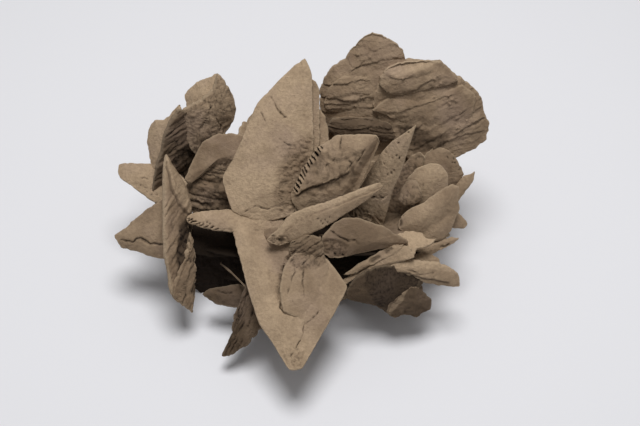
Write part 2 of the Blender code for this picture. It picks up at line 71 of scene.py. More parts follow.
CELL = 1.05                          # side of a grid cell on a crystal's face
BACK_CELL = 1.7                      # the same at the back
RIM_CROWDING = 1.35                  # above 1, the grid's rings crowd towards the rim
RIM_FADE = 1.2                       # over this distance from the rim, relief fades out
RIM_CORNER = 0.7                     # radius of a blunt edge's corners
RIM_WEAR = 1.3                       # width of the pale worn band along a rim
LEAST_HALF = 0.35                    # no face is cut nearer to the rim's plane than this
ROUNDNESS = 0.4                      # of a rim between its corners: 0 is straight, 1 fully round
MIDDLE_COUNT = 24                    # points of a rim whose mean is its middle
LOBE_SIZE = 8.0                      # of a rim
LOBE_RISE, LOBE_LEVEL = 1.6, 1.2     # from creased noise to how far the lobes stand out of the rim
CHIP_SIZE = 4.0                      # of a rim
CHIP_START, CHIP_END = 0.3, 0.5      # where the noise passes these, a chip breaks off

SWELL_SIZE = 34.0                    # of the slow swells of a face
RIPPLE_SIZE = 10.0                   # of its lumps
GRAIN_SIZE = 3.0                     # of its grain
LEDGE_SETS = ((1.0, 1.0), (0.5, 0.43))    # shares of a skin's ledge and gap: great ledges and small ones
LEDGE_WARPS = ((0.8, 30.0), (0.35, 9.0))  # ledges waver by these shares of their gap, over these lengths
LEDGE_LENGTH = 22.0                  # over which a ledge comes and goes
LEDGE_FOOT = 0.05                    # share of a gap that the painted shadow at the foot of a ledge takes up
MARK_WAVERS = ((0.9, 5.0), (0.4, 1.8))    # marks waver by this much, over these lengths
CRACK_ENDS, STEP_ENDS = 4.0, 5.0     # cracks and steps die out over these lengths
CRACK_LEAST = 0.35                   # share of its depth that a crack keeps where it all but closes
# painted shade in the bottom of a crack
CRACK_SHADE = 0.75
STREAK_LENGTH = 11.0                 # how much longer than wide the streaks' noise is
CRACK_SEED, WAVER_SEED, PATCH_SEED, COMB_SEED, STREAK_SEED = 900, 910, 950, 970, 980

SHARP_ANGLE = 50.0                   # edges of a piece that turn more than this stay sharp
RIM_COUNT = 900                      # points that a rim is first drawn with

TAN_STONE = (0.50, 0.368, 0.242, 1.0)
GREY_STONE = (0.205, 0.14, 0.088, 1.0)
ROSY_STONE = (0.33, 0.235, 0.18, 1.0)
WORN_STONE = (0.52, 0.40, 0.27, 1.0)
DARK_GRAIN = (0.17, 0.12, 0.08, 1.0)
# painted shade: a near-black colour that the mask of painted shade blends in where shade falls, in cracks,
# creases, holes, under ledges and over crystals in shadow
PAINTED_SHADE_COLOUR = (0.012, 0.007, 0.0045, 1.0)
GRAIN_HEIGHT = 0.0011

FLOOR_SIZE = 8.0
FLOOR_DROP = 0.0003                  # from the resting plane to the floor
FLOOR_COLOUR = (0.79, 0.79, 0.82, 1.0)
LIGHT_SIZE = 1.1
LIGHT_PLACE = (0.04, 0.16, 2.2)
LIGHT_POWER = 38.0
EVEN_LIGHT = 0.26

# ---------------------------------------------------------------------------------------------------------
# The drawing sheet and the camera
# ---------------------------------------------------------------------------------------------------------

down = math.radians(LOOK_DOWN)
SHEET_RIGHT = np.array((1.0, 0.0, 0.0))
SHEET_UP = np.array((0.0, math.sin(down), math.cos(down)))
TO_EYE = np.array((0.0, -math.cos(down), math.sin(down)))
EYE = np.array(SHEET_PLACE) + EYE_DISTANCE * TO_EYE


def sight(points):
    """Directions from the eye through points of the sheet, given in millimetres."""
    offsets = (np.atleast_2d(points) - np.array(SHEET_MIDDLE)) * MILLIMETRE
    places = np.array(SHEET_PLACE) + offsets[:, :1] * SHEET_RIGHT - offsets[:, 1:] * SHEET_UP
    return places - EYE


def on_sheet(points):
    """Where the eye sees points against the sheet: each ray is stretched until it is as deep as the sheet."""
    rays = points - EYE
    rays = rays * (EYE_DISTANCE / -(rays @ TO_EYE))[:, None] / MILLIMETRE
    return np.stack((SHEET_MIDDLE[0] + rays @ SHEET_RIGHT, SHEET_MIDDLE[1] - rays @ SHEET_UP), axis=1)


def facing(turn, tilt):
    """The unit normal that looks turn degrees round from the front towards +X, and tilt degrees upwards."""
    turn = math.radians(turn)
    tilt = math.radians(tilt)
    level = math.cos(tilt)
    return np.array((math.sin(turn) * level, -math.cos(turn) * level, math.sin(tilt)))


def point_at_height(sheet_point, height):
    """The point that the eye sees at a sheet point, at a height in millimetres."""
    ray = sight(sheet_point)[0]
    return EYE + ray * ((height + STAND) * MILLIMETRE - EYE[2]) / ray[2]


def lay_on_plane(points, place, normal):
    """Sheet points laid from the eye onto the plane through place."""
    rays = sight(points)
    reach = (place - EYE) @ normal / (rays @ normal)
    return EYE + reach[:, None] * rays


def placed(name, data):
    """An object of the data, in the scene."""
    thing = bpy.data.objects.new(name, data)
    bpy.context.scene.collection.objects.link(thing)
    return thing


def aimed(name, data, place, back):
    """The same at a place, turned so that its own Z looks along back."""
    thing = placed(name, data)
    thing.location = place
    thing.rotation_euler = Vector(back).to_track_quat("Z", "Y").to_euler()
    return thing


def make_camera():
    """A camera at the eye that takes in the sheet's width."""
    data = bpy.data.cameras.new("camera")
    data.sensor_width = SENSOR_WIDTH
    data.lens = SENSOR_WIDTH * EYE_DISTANCE / (PICTURE_WIDTH * MILLIMETRE)
    data.clip_start, data.clip_end = CLIP
    bpy.context.scene.camera = aimed("camera", data, EYE, TO_EYE)


# ---------------------------------------------------------------------------------------------------------
# Noise
# ---------------------------------------------------------------------------------------------------------

def mixed(x, y, z, seed):
    """A number from 0 to 1 for each lattice point: its whole-number place is multiplied by large odd
    numbers, and the sum is folded onto itself twice."""
    h = (x * 374761393 + y * 668265263 + z * 1440662683 + seed * 982451653) & 0xFFFFFFFF
    h = ((h ^ (h >> 13)) * 1274126177) & 0xFFFFFFFF
    h = ((h ^ (h >> 16)) * 1103515245) & 0xFFFFFFFF
    return (h ^ (h >> 15)) / 4294967296.0


def swells(points, size, seed):
    """Smooth noise from -1 to 1: lattice numbers size millimetres apart, blended by 3 t^2 - 2 t^3."""
    scaled = points / size
    cell = np.floor(scaled).astype(np.int64)
    t = scaled - cell
    t = t * t * (3.0 - 2.0 * t)
    x, y, z = cell.T
    total = np.zeros(len(points))
    for i in (0, 1):
        for j in (0, 1):
            for k in (0, 1):
                share = (t[:, 0] if i else 1 - t[:, 0]) * (t[:, 1] if j else 1 - t[:, 1])
                share = share * (t[:, 2] if k else 1 - t[:, 2])
                total += share * mixed(x + i, y + j, z + k, seed)
    return 2.0 * total - 1.0


def rugged(points, size, seed, octaves=3):
    """Rough noise: swells added up, each half the size and half the height of the last."""
    total = np.zeros(len(points))
    for octave in range(octaves):
        total += swells(points, size / 2 ** octave, seed + octave) / 2 ** octave
    return total


def creased(points, size, seed, octaves=3):
    """Lumps with sharp creases between them: the sum of the absolute values of falling swells, from 0."""
    total = np.zeros(len(points))
    for octave in range(octaves):
        total += np.abs(swells(points, size / 2 ** octave, seed + octave)) / 2 ** octave
    return total


def ramp(values, start, end):
    """0 below start and 1 above end, with a smooth rise between them."""
    t = np.clip((values - start) / (end - start), 0.0, 1.0)
    return t * t * (3.0 - 2.0 * t)


# ---------------------------------------------------------------------------------------------------------
# Marks on a crystal's face.  Each is placed on the sheet, and gives at every point of the face a height in
# millimetres, a darkness of painted shade from 0 to 1, and a change of tone.
# ---------------------------------------------------------------------------------------------------------

def mark(work_out):
    """Turns a mark's function into one that takes only the mark's measures, and keeps them for its face."""
    def with_measures(*measures, **named):
        return lambda seen, space: work_out(seen, space, *measures, **named)
    return with_measures


def along_line(seen, line):
    """For each point: the distance to the line's nearest stretch, 1 on the line's left as the sheet is seen
    or -1 on its right, and how far along the line that is; then the line's length, in millimetres."""
    line = np.asarray(line, float)
    near = np.full(len(seen), 1e6)
    side = np.zeros(len(seen))
    passed = np.zeros(len(seen))
    gone = 0.0
    for start, end in zip(line[:-1], line[1:]):
        run = end - start
        span = math.hypot(*run)
        share = np.clip((seen - start) @ run / span ** 2, 0.0, 1.0)
        away = seen - start - share[:, None] * run
        far = np.hypot(away[:, 0], away[:, 1])
        closer = far < near
        turn = run[1] * (seen[:, 0] - start[0]) - run[0] * (seen[:, 1] - start[1])
        near = np.where(closer, far, near)
        side = np.where(closer, np.sign(turn), side)
        passed = np.where(closer, gone + share * span, passed)
        gone += span
    return near, side, passed, gone


def inside(seen, outline, soft):
    """1 inside the outline and 0 outside it, with a rise soft millimetres wide across the outline."""
    corners = np.asarray(outline, float)
    near = along_line(seen, np.concatenate((corners, corners[:1])))[0]
    odd = np.zeros(len(seen), bool)
    x, y = seen.T
    for (x0, y0), (x1, y1) in zip(corners, np.roll(corners, -1, axis=0)):
        if y0 != y1:
            odd ^= ((y0 > y) != (y1 > y)) & (x < x0 + (y - y0) * (x1 - x0) / (y1 - y0))
    return ramp(np.where(odd, near, -near), -soft / 2, soft / 2)


@mark
def crack(seen, space, line, width=0.8, depth=1.8):
    """A groove along a line: a bell of the distance from it, which comes and goes along its length, with
    painted shade in it.
    """
    near, _, passed, length = along_line(seen, line)
    ends = ramp(passed, -0.1, CRACK_ENDS) * ramp(length - passed, -0.1, CRACK_ENDS)
    open_share = ramp(swells(space, CRACK_ENDS, CRACK_SEED), -0.5, 0.2)
    share = ends * (CRACK_LEAST + (1.0 - CRACK_LEAST) * open_share)
    bell = share * np.exp(-(near / width) ** 2)
    return -depth * bell, CRACK_SHADE * bell, 0.0


@mark
def dip(seen, space, line, width, depth):
    """A valley along a line, or where depth is below zero a ridge: a bell of the distance from it."""
    near = along_line(seen, line)[0]
    return -depth * np.exp(-(near / width) ** 2), 0.0, 0.0


@mark
def step(seen, space, line, rise, fall=9.0, dark=0.5):
    """An edge of a layer along a line: the face rises on the line's left and falls back away from it, with
    painted shadow under the edge.
    """
    near, side, passed, length = along_line(seen, line)
    ends = ramp(passed, -0.1, STEP_ENDS) * ramp(length - passed, -0.1, STEP_ENDS)
    inner = near * side
    height = ends * rise * ramp(inner, -0.4, 0.4) * np.exp(-np.clip(inner, 0, None) / fall)
    # painted shadow along the foot of the edge
    under = ends * dark * np.exp(-((inner + 0.9) / 0.9) ** 2)
    return height - 0.5 * under, under, 0.0


@mark
def facet(seen, space, line, slope):
    """A flat cut on the left of a line: the face falls away from the line evenly."""
    near, side, _, _ = along_line(seen, line)
    return -slope * np.clip(near * side, 0.0, None), 0.0, 0.0


@mark
def pits(seen, space, spots, radius=1.0, depth=2.0):
    """Small holes at the spots, or where depth is below zero, chips that lie on the face; the holes get
    painted shade.
    """
    hole = np.zeros(len(seen))
    for spot in spots:
        hole = np.maximum(hole, np.exp(-(np.linalg.norm(seen - spot, axis=1) / radius) ** 2))
    return -depth * hole, hole if depth > 0 else 0.0, 0.0


@mark
def patch(seen, space, outline, rise=0.0, rough=0.0, size=6.0, tone=0.0, soft=2.0, dark=0.0):
    """A part of the face that stands higher or lower, is rough, or has a tone of its own; its dark share and
    the creases of rough ground are painted shade.
    """
    share = inside(seen, outline, soft)
    lumps = creased(space, size, PATCH_SEED) - 0.8
    height = share * (rise + rough * lumps)
    shade = share * np.clip(dark + 0.5 * ramp(-lumps, 0.25, 0.75) * min(rough, 1.0), 0, 1)
    return height, shade, share * tone


@mark
def comb(seen, space, line, pitch, reach, depth, slant=0.0):
    """A row of teeth along a line, on its right side: slits cut into a strip reach millimetres wide, with
    painted shade in the slits and the teeth between them paler.
    """
    near, side, passed, length = along_line(seen, line)
    inner = -near * side
    strip = ramp(inner, -1.5, -0.5) * ramp(reach - inner, -0.6, 0.4)
    strip = strip * ramp(passed, 0.0, 1.0) * ramp(length - passed, 0.0, 1.0)
    phase = (passed + slant * inner) / pitch + 0.25 * swells(space, 9.0, COMB_SEED)
    slit = ramp(np.cos(math.tau * phase), -0.1, 0.7)
    return -depth * strip * slit, strip * slit, 0.5 * strip * (1 - slit)


@mark
def streaks(seen, space, outline, lean, pitch, rise, soft=3.0, dark=0.6):
    """Fine ribs inside an outline, which run up to the right at lean degrees, creased and uneven, with
    painted shade in the creases.
    """
    share = inside(seen, outline, soft)
    angle = math.radians(lean)
    along = seen[:, 0] * math.cos(angle) - seen[:, 1] * math.sin(angle)
    across = seen[:, 0] * math.sin(angle) + seen[:, 1] * math.cos(angle)
    drawn_out = np.stack((along / STREAK_LENGTH, across, 0.0 * across), axis=1)
    ribs = np.abs(swells(drawn_out, pitch, STREAK_SEED))
    ribs = ribs + 0.5 * np.abs(swells(drawn_out, pitch / 2.1, STREAK_SEED + 1))
    return share * rise * (ribs - 0.5), share * dark * ramp(-ribs, -0.32, -0.02), 0.0


# ---------------------------------------------------------------------------------------------------------
# What a crystal's face is like
# ---------------------------------------------------------------------------------------------------------

class Skin(NamedTuple):
    """The relief and colour of a crystal's faces.  Heights and sizes are in millimetres."""

    swell: float = 0.8               # of the slow swells
    ripple: float = 0.35             # of the lumps a few millimetres across
    grain: float = 0.16              # of the sandy grain
    rough: float = 0.0               # of the creased, broken ground
    size: float = 7.0                # of the lumps of broken ground
    ledge: float = 0.0               # of the ledges that cross the face
    gap: float = 9.0                 # from ledge to ledge
    lean: float = 0.0                # degrees by which the ledges rise towards the right
    nick: float = 0.7                # of the rim's small lobes
    notch: float = 0.5               # depth of the chips out of the rim
    tone: float = 0.0                # from -1, grey and dark, to 1, pale tan
    dark: float = 0.0                # share of the painted shade colour all over
    cell: float = CELL               # side of a grid cell


BROKEN = Skin(swell=1.0, ripple=0.5, rough=2.2, size=7.0, grain=0.3, nick=1.0, tone=-0.5)
SLAB = Skin(swell=1.6, ripple=0.7, grain=0.25, ledge=1.6, gap=12.0, nick=1.0, notch=0.8, tone=-0.3)
# painted shade: the hidden crystals in and under the rose are coloured near black all over
DEEP_SHADE = Skin(cell=3.0, tone=-1.0, dark=0.95)
BACK = Skin(cell=BACK_CELL, nick=1.1, notch=0.8, ripple=0.7)


def relief(flat, space, skin, seed):
    """How far a face stands off its smooth form, and how much painted shade its crevices get, from 0 to 1.

    Flat is the place in the crystal's plane and space the place in the rose.  Swells, ripples and grain are
    noise of falling size, and broken ground is creased noise.  Ledges are a saw: up a step where the warped
    distance across them passes a whole number of gaps, then falling away evenly; steps come and go.
    """
    height = skin.swell * swells(space, SWELL_SIZE, seed)
    height += skin.ripple * rugged(space, RIPPLE_SIZE, seed + 10)
    height += skin.grain * rugged(space, GRAIN_SIZE, seed + 20, 2)
    painted_shade = np.zeros(len(flat))
    if skin.rough:
        lumps = creased(space, skin.size, seed + 30, 4) - 0.85
        height += skin.rough * lumps
        # painted shade in the creases between the lumps
        painted_shade = np.maximum(painted_shade, 0.6 * ramp(-lumps, 0.3, 0.75))
    if skin.ledge:
        lean = math.radians(skin.lean)
        across = flat[:, 1] * math.cos(lean) - flat[:, 0] * math.sin(lean)
        along = flat[:, 0] * math.cos(lean) + flat[:, 1] * math.sin(lean)
        for part, of_skins_gap in LEDGE_SETS:
            gap = of_skins_gap * skin.gap
            warped = across
            for more, (of_gap, over) in enumerate(LEDGE_WARPS):
                warped = warped + of_gap * gap * swells(space, over, seed + 40 + more)
            number = np.floor(warped / gap)
            past = warped / gap - number
            stretch = np.stack((along / LEDGE_LENGTH, number * 3.1, 0.0 * number), axis=1)
            share = part * ramp(swells(stretch, 1.0, seed + 42), -0.25, 0.6)
            saw = ramp(past, 0.0, 0.16) * (1.0 - past)
            height += skin.ledge * share * (saw - 0.4)
            # painted shadow along the foot of each ledge, where the step overhangs
            under = sum(np.exp(-((past - foot) / LEDGE_FOOT) ** 2) for foot in (0.02, 1.02))
            painted_shade = np.maximum(painted_shade, 0.25 * share * under)
    return height, painted_shade


# ---------------------------------------------------------------------------------------------------------
# Crystals
# ---------------------------------------------------------------------------------------------------------

def smooth_closed(corners, count):
    """A closed curve through the corners, as count points shared out by the length between corners: a
    blend, by roundness, of the cubic through four corners and the straight line between two."""
    corners = np.asarray(corners, float)
    ahead = np.roll(corners, -1, axis=0)
    beyond = np.roll(corners, -2, axis=0)
    behind = np.roll(corners, 1, axis=0)
    spans = np.linalg.norm(ahead - corners, axis=1)
    passed = np.concatenate(([0.0], np.cumsum(spans)))
    wanted = np.linspace(0.0, passed[-1], count, endpoint=False)
    span = np.clip(np.searchsorted(passed, wanted, side="right") - 1, 0, len(corners) - 1)
    t = ((wanted - passed[span]) / spans[span])[:, None]
    p0, p1, p2, p3 = behind[span], corners[span], ahead[span], beyond[span]
    curve = p1 + 0.5 * t * (p2 - p0 + t * (2 * p0 - 5 * p1 + 4 * p2 - p3 + t * (3 * (p1 - p2) + p3 - p0)))
    straight = p1 + t * (p2 - p1)
    return ROUNDNESS * curve + (1.0 - ROUNDNESS) * straight


def waver(rim, navel, normal, skin, seed):
    """The rim, moved in its plane: out in small lobes that meet in cusps, and in where chips have broken
    off.  Returns it with each point's reach: how far the navel is from the rim's line there."""
    ahead = np.roll(rim, -1, axis=0) - np.roll(rim, 1, axis=0)
    ahead /= np.linalg.norm(ahead, axis=1)[:, None]
    outward = np.cross(ahead, normal)
    space = rim / MILLIMETRE
    push = skin.nick * (LOBE_RISE * creased(space, LOBE_SIZE, seed + 60, 3) - LOBE_LEVEL)
    push -= skin.notch * ramp(swells(space, CHIP_SIZE, seed + 62), CHIP_START, CHIP_END)
    rim = rim + push[:, None] * MILLIMETRE * outward
    reach = np.abs(np.sum((rim - navel) * outward, axis=1))
    return rim, reach


def lens(name, rim, navel, normal, thickness, edge, bow, skin, right, marks=()):
    """A crystal: two faces on one grid, which meet along the rim.

    The grid's square rings shrink from the rim to the navel: at ring share s, a point is the navel plus
    r = 1 - (1 - s) ^ crowding of the way to the rim.  A face stands off the rim's plane by half the edge,
    rounded off at the rim as a quarter circle, plus half of what the middle is thicker times (1 - r
    squared), and the whole lens bows by bow * (1 - r squared).  Relief is added to both faces and fades out
    at the rim; marks are added to the face that looks at the eye.
    """
    seed = sum(map(ord, name)) * 97 % 9973
    turning = np.cross(rim - navel, np.roll(rim, -1, axis=0) - navel).sum(axis=0) @ normal
    if turning < 0:
        rim = rim[::-1]
    rim, reach = waver(rim, navel, normal, skin, seed)
    around = len(rim)
    spread = rim - rim.mean(axis=0)
    axes = np.linalg.svd(spread, full_matrices=False)[2]
    length, breadth = np.ptp(spread @ axes[0]) / MILLIMETRE, np.ptp(spread @ axes[1]) / MILLIMETRE
    wide = 2 * max(4, round(length / skin.cell / 2))
    high = 2 * max(4, round(breadth / skin.cell / 2))
    tip = int(np.argmax(spread @ axes[0]))

    u, v = np.meshgrid(np.linspace(-1, 1, wide + 1), np.linspace(-1, 1, high + 1), indexing="ij")
    u, v = u.ravel(), v.ravel()
    ring = np.maximum(np.abs(u), np.abs(v))
    safe = np.where(ring > 0, ring, 1.0)
    a, b = u / safe, v / safe
    side = high / (2.0 * (wide + high))      # share of the way round that one short side takes
    other = 0.5 - side
    turn = np.where(np.abs(u) >= np.abs(v),
                    np.where(u > 0, side * (b + 1) / 2, 0.5 + side * (1 - b) / 2),
                    np.where(v > 0, side + other * (1 - a) / 2, 0.5 + side + other * (a + 1) / 2))
    place = (turn - side / 2 + tip / around) % 1.0 * around
    first = np.floor(place).astype(int) % around
    share = (place - np.floor(place))[:, None]
    edge_point = rim[first] * (1 - share) + rim[(first + 1) % around] * share
    edge_reach = reach[first] * (1 - share[:, 0]) + reach[(first + 1) % around] * share[:, 0]

    r = 1.0 - (1.0 - ring) ** RIM_CROWDING
    middle = navel + r[:, None] * (edge_point - navel)
    inland = (1.0 - r) * edge_reach / MILLIMETRE
    corner = np.sqrt(1.0 - (1.0 - np.clip(inland / RIM_CORNER, 0.0, 1.0)) ** 2)
    swell = 1.0 - r * r
    half = 0.5 * edge * corner + 0.5 * (thickness - edge) * swell
    arch = bow * swell
    fade = ramp(inland, 0.1, RIM_FADE)
    least = np.minimum(half, LEAST_HALF)
    up = np.cross(normal, right)
    flat = np.stack(((middle - navel) @ right, (middle - navel) @ up), axis=1) / MILLIMETRE

    faces = []
    painted_shades = []
    tones = []
    for way in (1.0, -1.0):
        smooth = middle + ((way * half + arch) * MILLIMETRE)[:, None] * normal
        space = smooth / MILLIMETRE
        height, painted_shade = relief(flat, space, skin, seed + (7 if way < 0 else 0))
        tone = np.full(len(space), skin.tone)
        if marks and normal @ (EYE - navel) * way > 0:
            seen = on_sheet(smooth)
            for axis in (0, 1):
                seen[:, axis] += sum(far * swells(space, over, WAVER_SEED + 2 * axis + number)
                                     for number, (far, over) in enumerate(MARK_WAVERS))
            for work_out in marks:
                rise, dark, paler = work_out(seen, space)
                height = height + rise
                # the marks' darkness is painted shade
                painted_shade = np.maximum(painted_shade, dark)
                tone = tone + paler
        height = np.maximum(height * fade, least - half)
        faces.append(smooth + (way * height * MILLIMETRE)[:, None] * normal)
        # painted shade: from relief and marks, never less than the skin's share all over
        painted_shades.append(np.clip(np.maximum(painted_shade * fade, skin.dark), 0.0, 1.0))
        tones.append(tone)

    count = (wide + 1) * (high + 1)
    top = np.arange(count)
    inner = ring < 1.0 - 1e-9
    under = top.copy()
    under[inner] = count + np.arange(inner.sum())
    points = np.concatenate((faces[0], faces[1][inner]))
    masks = {"painted_shade": np.concatenate((painted_shades[0], painted_shades[1][inner])),
             "rim": np.exp(-np.concatenate((inland, inland[inner])) / RIM_WEAR),
             "tone": np.concatenate((tones[0], tones[1][inner]))}

    grid = top.reshape(wide + 1, high + 1)
    below = under.reshape(wide + 1, high + 1)
    quads_up = np.stack((grid[:-1, :-1], grid[1:, :-1], grid[1:, 1:], grid[:-1, 1:]), axis=-1).reshape(-1, 4)
    quads_down = np.stack((below[:-1, :-1], below[:-1, 1:], below[1:, 1:], below[1:, :-1]), axis=-1)
    add_crystal(name, points, np.concatenate((quads_up, quads_down.reshape(-1, 4))), masks)


def add_crystal(name, points, quads, masks):
    """A closed mesh of the points and quads, with its faces turned outwards and its masks' values at each
    point, which waits to be grown together with the others of its piece."""
    a, b, c, d = (points[quads[:, corner]] for corner in range(4))
    volume = np.sum(np.cross(a, b) * c) + np.sum(np.cross(a, c) * d)
    if volume < 0:
        quads = quads[:, ::-1]
    data = bpy.data.meshes.new(name)
    data.vertices.add(len(points))
    data.vertices.foreach_set("co", points.ravel().astype(np.float32))
    data.loops.add(quads.size)
    data.loops.foreach_set("vertex_index", quads.ravel().astype(np.int32))
    data.polygons.add(len(quads))
    data.polygons.foreach_set("loop_start", np.arange(0, quads.size, 4, dtype=np.int32))
    data.update(calc_edges=True)
    for mask, values in masks.items():
        data.attributes.new(mask, "FLOAT", "POINT").data.foreach_set("value", values.astype(np.float32))
    growing.append(bpy.data.objects.new(name, data))


def drawn(name, outline, at, height, turn, tilt, **measures):
    """A crystal drawn on the sheet; its plane passes the sheet point at, at a height in millimetres."""
    planes[name] = (point_at_height(at, height), facing(turn, tilt))
    laid_on(name, outline, *planes[name], **measures)


def layer(name, outline, of, step, **measures):
    """A drawn crystal grown flat on another: step is how far it stands off the other's plane."""
    place, normal = planes[of]
    laid_on(name, outline, place + step * MILLIMETRE * normal, normal, **measures)


def laid_on(name, outline, place, normal, thickness=THICKNESS, edge=EDGE, bow=0.0, navel=None, skin=Skin(),
            marks=()):
    """Makes the lens of an outline on the sheet, in the plane through place.  Its faces swell towards the
    navel, which is the outline's middle where nothing else is said."""
    rim = lay_on_plane(smooth_closed(outline, RIM_COUNT), place, normal)
    if navel is None:
        middle = lay_on_plane(smooth_closed(outline, MIDDLE_COUNT), place, normal).mean(axis=0)
    else:
        middle = lay_on_plane([navel], place, normal)[0]
    right = SHEET_RIGHT - (SHEET_RIGHT @ normal) * normal
    right /= np.linalg.norm(right)
    lens(name, rim, middle, normal, thickness, edge, bow * MILLIMETRE, skin, right, marks)


def leaf(name, heading, rise, roll, reach, width, thickness, edge=EDGE, root=HEART, blunt=0.4, skew=0.0,
         skin=BACK):
    """A leaf-shaped crystal that grows from a root.

    Heading turns it from the front towards +X, rise lifts it from the horizontal and roll turns it about
    its own length, all in degrees.  Along the leaf the outline runs as reach * (1 + cos a) / 2.  Across it
    goes as the sine of a, with a wave, and narrows towards the tip by the sine of a / 2 to a power that is
    smaller for a blunt leaf; a pointed leaf is made a little wider, to make up for that.  Skew carries the
    tip sideways by the square of the distance along.
    """
    along = facing(heading, rise)
    level = np.cross((0.0, 0.0, 1.0), along)
    level /= np.linalg.norm(level)
    turned = math.radians(roll)
    across = math.cos(turned) * level + math.sin(turned) * np.cross(along, level)
    normal = np.cross(along, across)
    a = np.linspace(0.0, math.tau, RIM_COUNT, endpoint=False)
    wave = 1.0 + LEAF_WAVE * np.sin(3.0 * a + math.radians(heading + 40.0 * rise))
    share = (1.0 + np.cos(a)) / 2.0
    narrowing = np.abs(np.sin(a / 2.0)) ** (1.0 - blunt)
    sideways = width / 2.0 * (1.3 - 0.3 * blunt) * np.sin(a) * narrowing * wave + skew * share ** 2
    foot = np.array(root) + (0.0, 0.0, STAND)
    rim = (foot + reach * share[:, None] * along + sideways[:, None] * across) * MILLIMETRE
    lens(name, rim, rim.mean(axis=0), normal, thickness, edge, 0.0, skin, across)


def drop_back_to_back(data):
    """Takes out the few pairs of faces that a union leaves back to back on the same corners."""
    sides = np.empty(len(data.polygons), dtype=np.int32)
    starts = np.empty(len(data.polygons), dtype=np.int32)
    corners = np.empty(len(data.loops), dtype=np.int32)
    data.polygons.foreach_get("loop_total", sides)
    data.polygons.foreach_get("loop_start", starts)
    data.loops.foreach_get("vertex_index", corners)
    doubled = []
    for count in (3, 4):                 # corners of a face
        faces = np.flatnonzero(sides == count)
        ring = np.sort(corners[starts[faces][:, None] + np.arange(count)], axis=1)
        _, same, times = np.unique(ring, axis=0, return_inverse=True, return_counts=True)
        doubled += faces[times[same.ravel()] > 1].tolist()
    if doubled:
        mesh = bmesh.new()
        mesh.from_mesh(data)
        mesh.faces.ensure_lookup_table()
        bmesh.ops.delete(mesh, geom=[mesh.faces[index] for index in doubled], context="FACES")
        mesh.to_mesh(data)
        mesh.free()


def boolean(target, operation, **operand):
    """Joins to the target, or cuts from it, in a way that keeps it closed."""
    modifier = target.modifiers.new(operation.lower(), "BOOLEAN")
    modifier.operation = operation
    modifier.solver = "MANIFOLD"
    for key, value in operand.items():
        setattr(modifier, key, value)


def shape(name, mesh):
    """An object of a bmesh, in the scene."""
    data = bpy.data.meshes.new(name)
    mesh.to_mesh(data)
    mesh.free()
    return placed(name, data)


def grow_together(name):
    """Unites the crystals made since the last call into one closed piece, cut flat where it rests."""
    first, *others = growing
    bpy.context.scene.collection.objects.link(first)
    holder = bpy.data.collections.new(name + "_crystals")
    for crystal in others:
        holder.objects.link(crystal)
    bpy.context.scene.collection.children.link(holder)
    boolean(first, "UNION", operand_type="COLLECTION", collection=holder)
    mesh = bmesh.new()
    bmesh.ops.create_cube(mesh, size=1.0)
    bmesh.ops.scale(mesh, verts=mesh.verts, vec=(1.0, 1.0, REST_CUT_DEPTH))
    bmesh.ops.translate(mesh, verts=mesh.verts, vec=(0.0, 0.0, -REST_CUT_DEPTH / 2))
    block = shape("rest_cut", mesh)
    boolean(first, "DIFFERENCE", object=block)
    ready = bpy.context.evaluated_depsgraph_get()
    data = bpy.data.meshes.new_from_object(first.evaluated_get(ready))
    for thing in growing + [block]:
        bpy.data.objects.remove(thing)
    growing.clear()
    bpy.data.collections.remove(holder)
    drop_back_to_back(data)
    data.name = name
    data.materials.clear()
    data.materials.append(stone)
    data.shade_smooth()
    data.set_sharp_from_angle(angle=math.radians(SHARP_ANGLE))
    piece = placed(name, data)
    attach(piece, "root")
    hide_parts(NODE)


# ---------------------------------------------------------------------------------------------------------
# The crystals of each part of the rose
# ---------------------------------------------------------------------------------------------------------

def tall_crystals():
    """The tall leaf that leans back over the middle, with the layers behind its right edge."""
    drawn("tall_leaf", at=(240, 212), height=84, turn=-4, tilt=50, thickness=15, navel=(268, 165),
        skin=Skin(swell=1.0, ripple=0.4, nick=0.5, tone=0.75, cell=0.95),
        outline=[(305, 58), (286, 73), (256, 105), (237, 150), (223, 176), (225, 192), (232, 211),
            (240, 216), (262, 222), (292, 216), (306, 190), (314, 145), (313, 110), (312, 75)],
        marks=[
            crack([(270, 95), (273, 100), (276, 107), (280, 113), (284, 117), (289, 117)], 0.7, 2),
            crack([(260, 110), (263, 117), (267, 124)], 0.6, 1.2),
            crack([(276, 137), (282, 140), (288, 145), (293, 146)], 0.6, 0.9),
            crack([(243, 213), (256, 206), (268, 209), (280, 204)], 0.7, 1),
            patch([(288, 148), (302, 138), (314, 138), (308, 182), (296, 208), (280, 212), (274, 196),
                (281, 168)], rise=-0.3, rough=2.6, size=4, tone=-1.3, soft=13),
            patch([(228, 190), (240, 172), (262, 180), (258, 204), (240, 212)], tone=0.6, soft=8),
            dip([(300, 62), (306, 110), (309, 150)], 1.6, 0.8)])
    layer("tall_second", of="tall_leaf", step=-7, thickness=8, skin=Skin(ripple=0.3, tone=0.15),
        outline=[(306, 76), (313, 79), (318, 84), (320, 100), (320, 144), (314, 180), (295, 205),
            (270, 190), (275, 130), (290, 100)])
    layer("tall_third", of="tall_leaf", step=-13, thickness=8, skin=Skin(ripple=0.3, tone=0.1),
        outline=[(310, 104), (320, 109), (326, 118), (329, 133), (328, 150), (318, 185), (298, 205),
            (280, 180), (290, 130)])
    drawn("tall_lobe", at=(262, 130), height=133, turn=-10, tilt=44, thickness=10,
        skin=Skin(ripple=0.6, tone=0.1),
        outline=[(245, 126), (248, 118), (257, 110), (272, 112), (282, 130), (272, 150), (255, 148),
            (247, 134)])


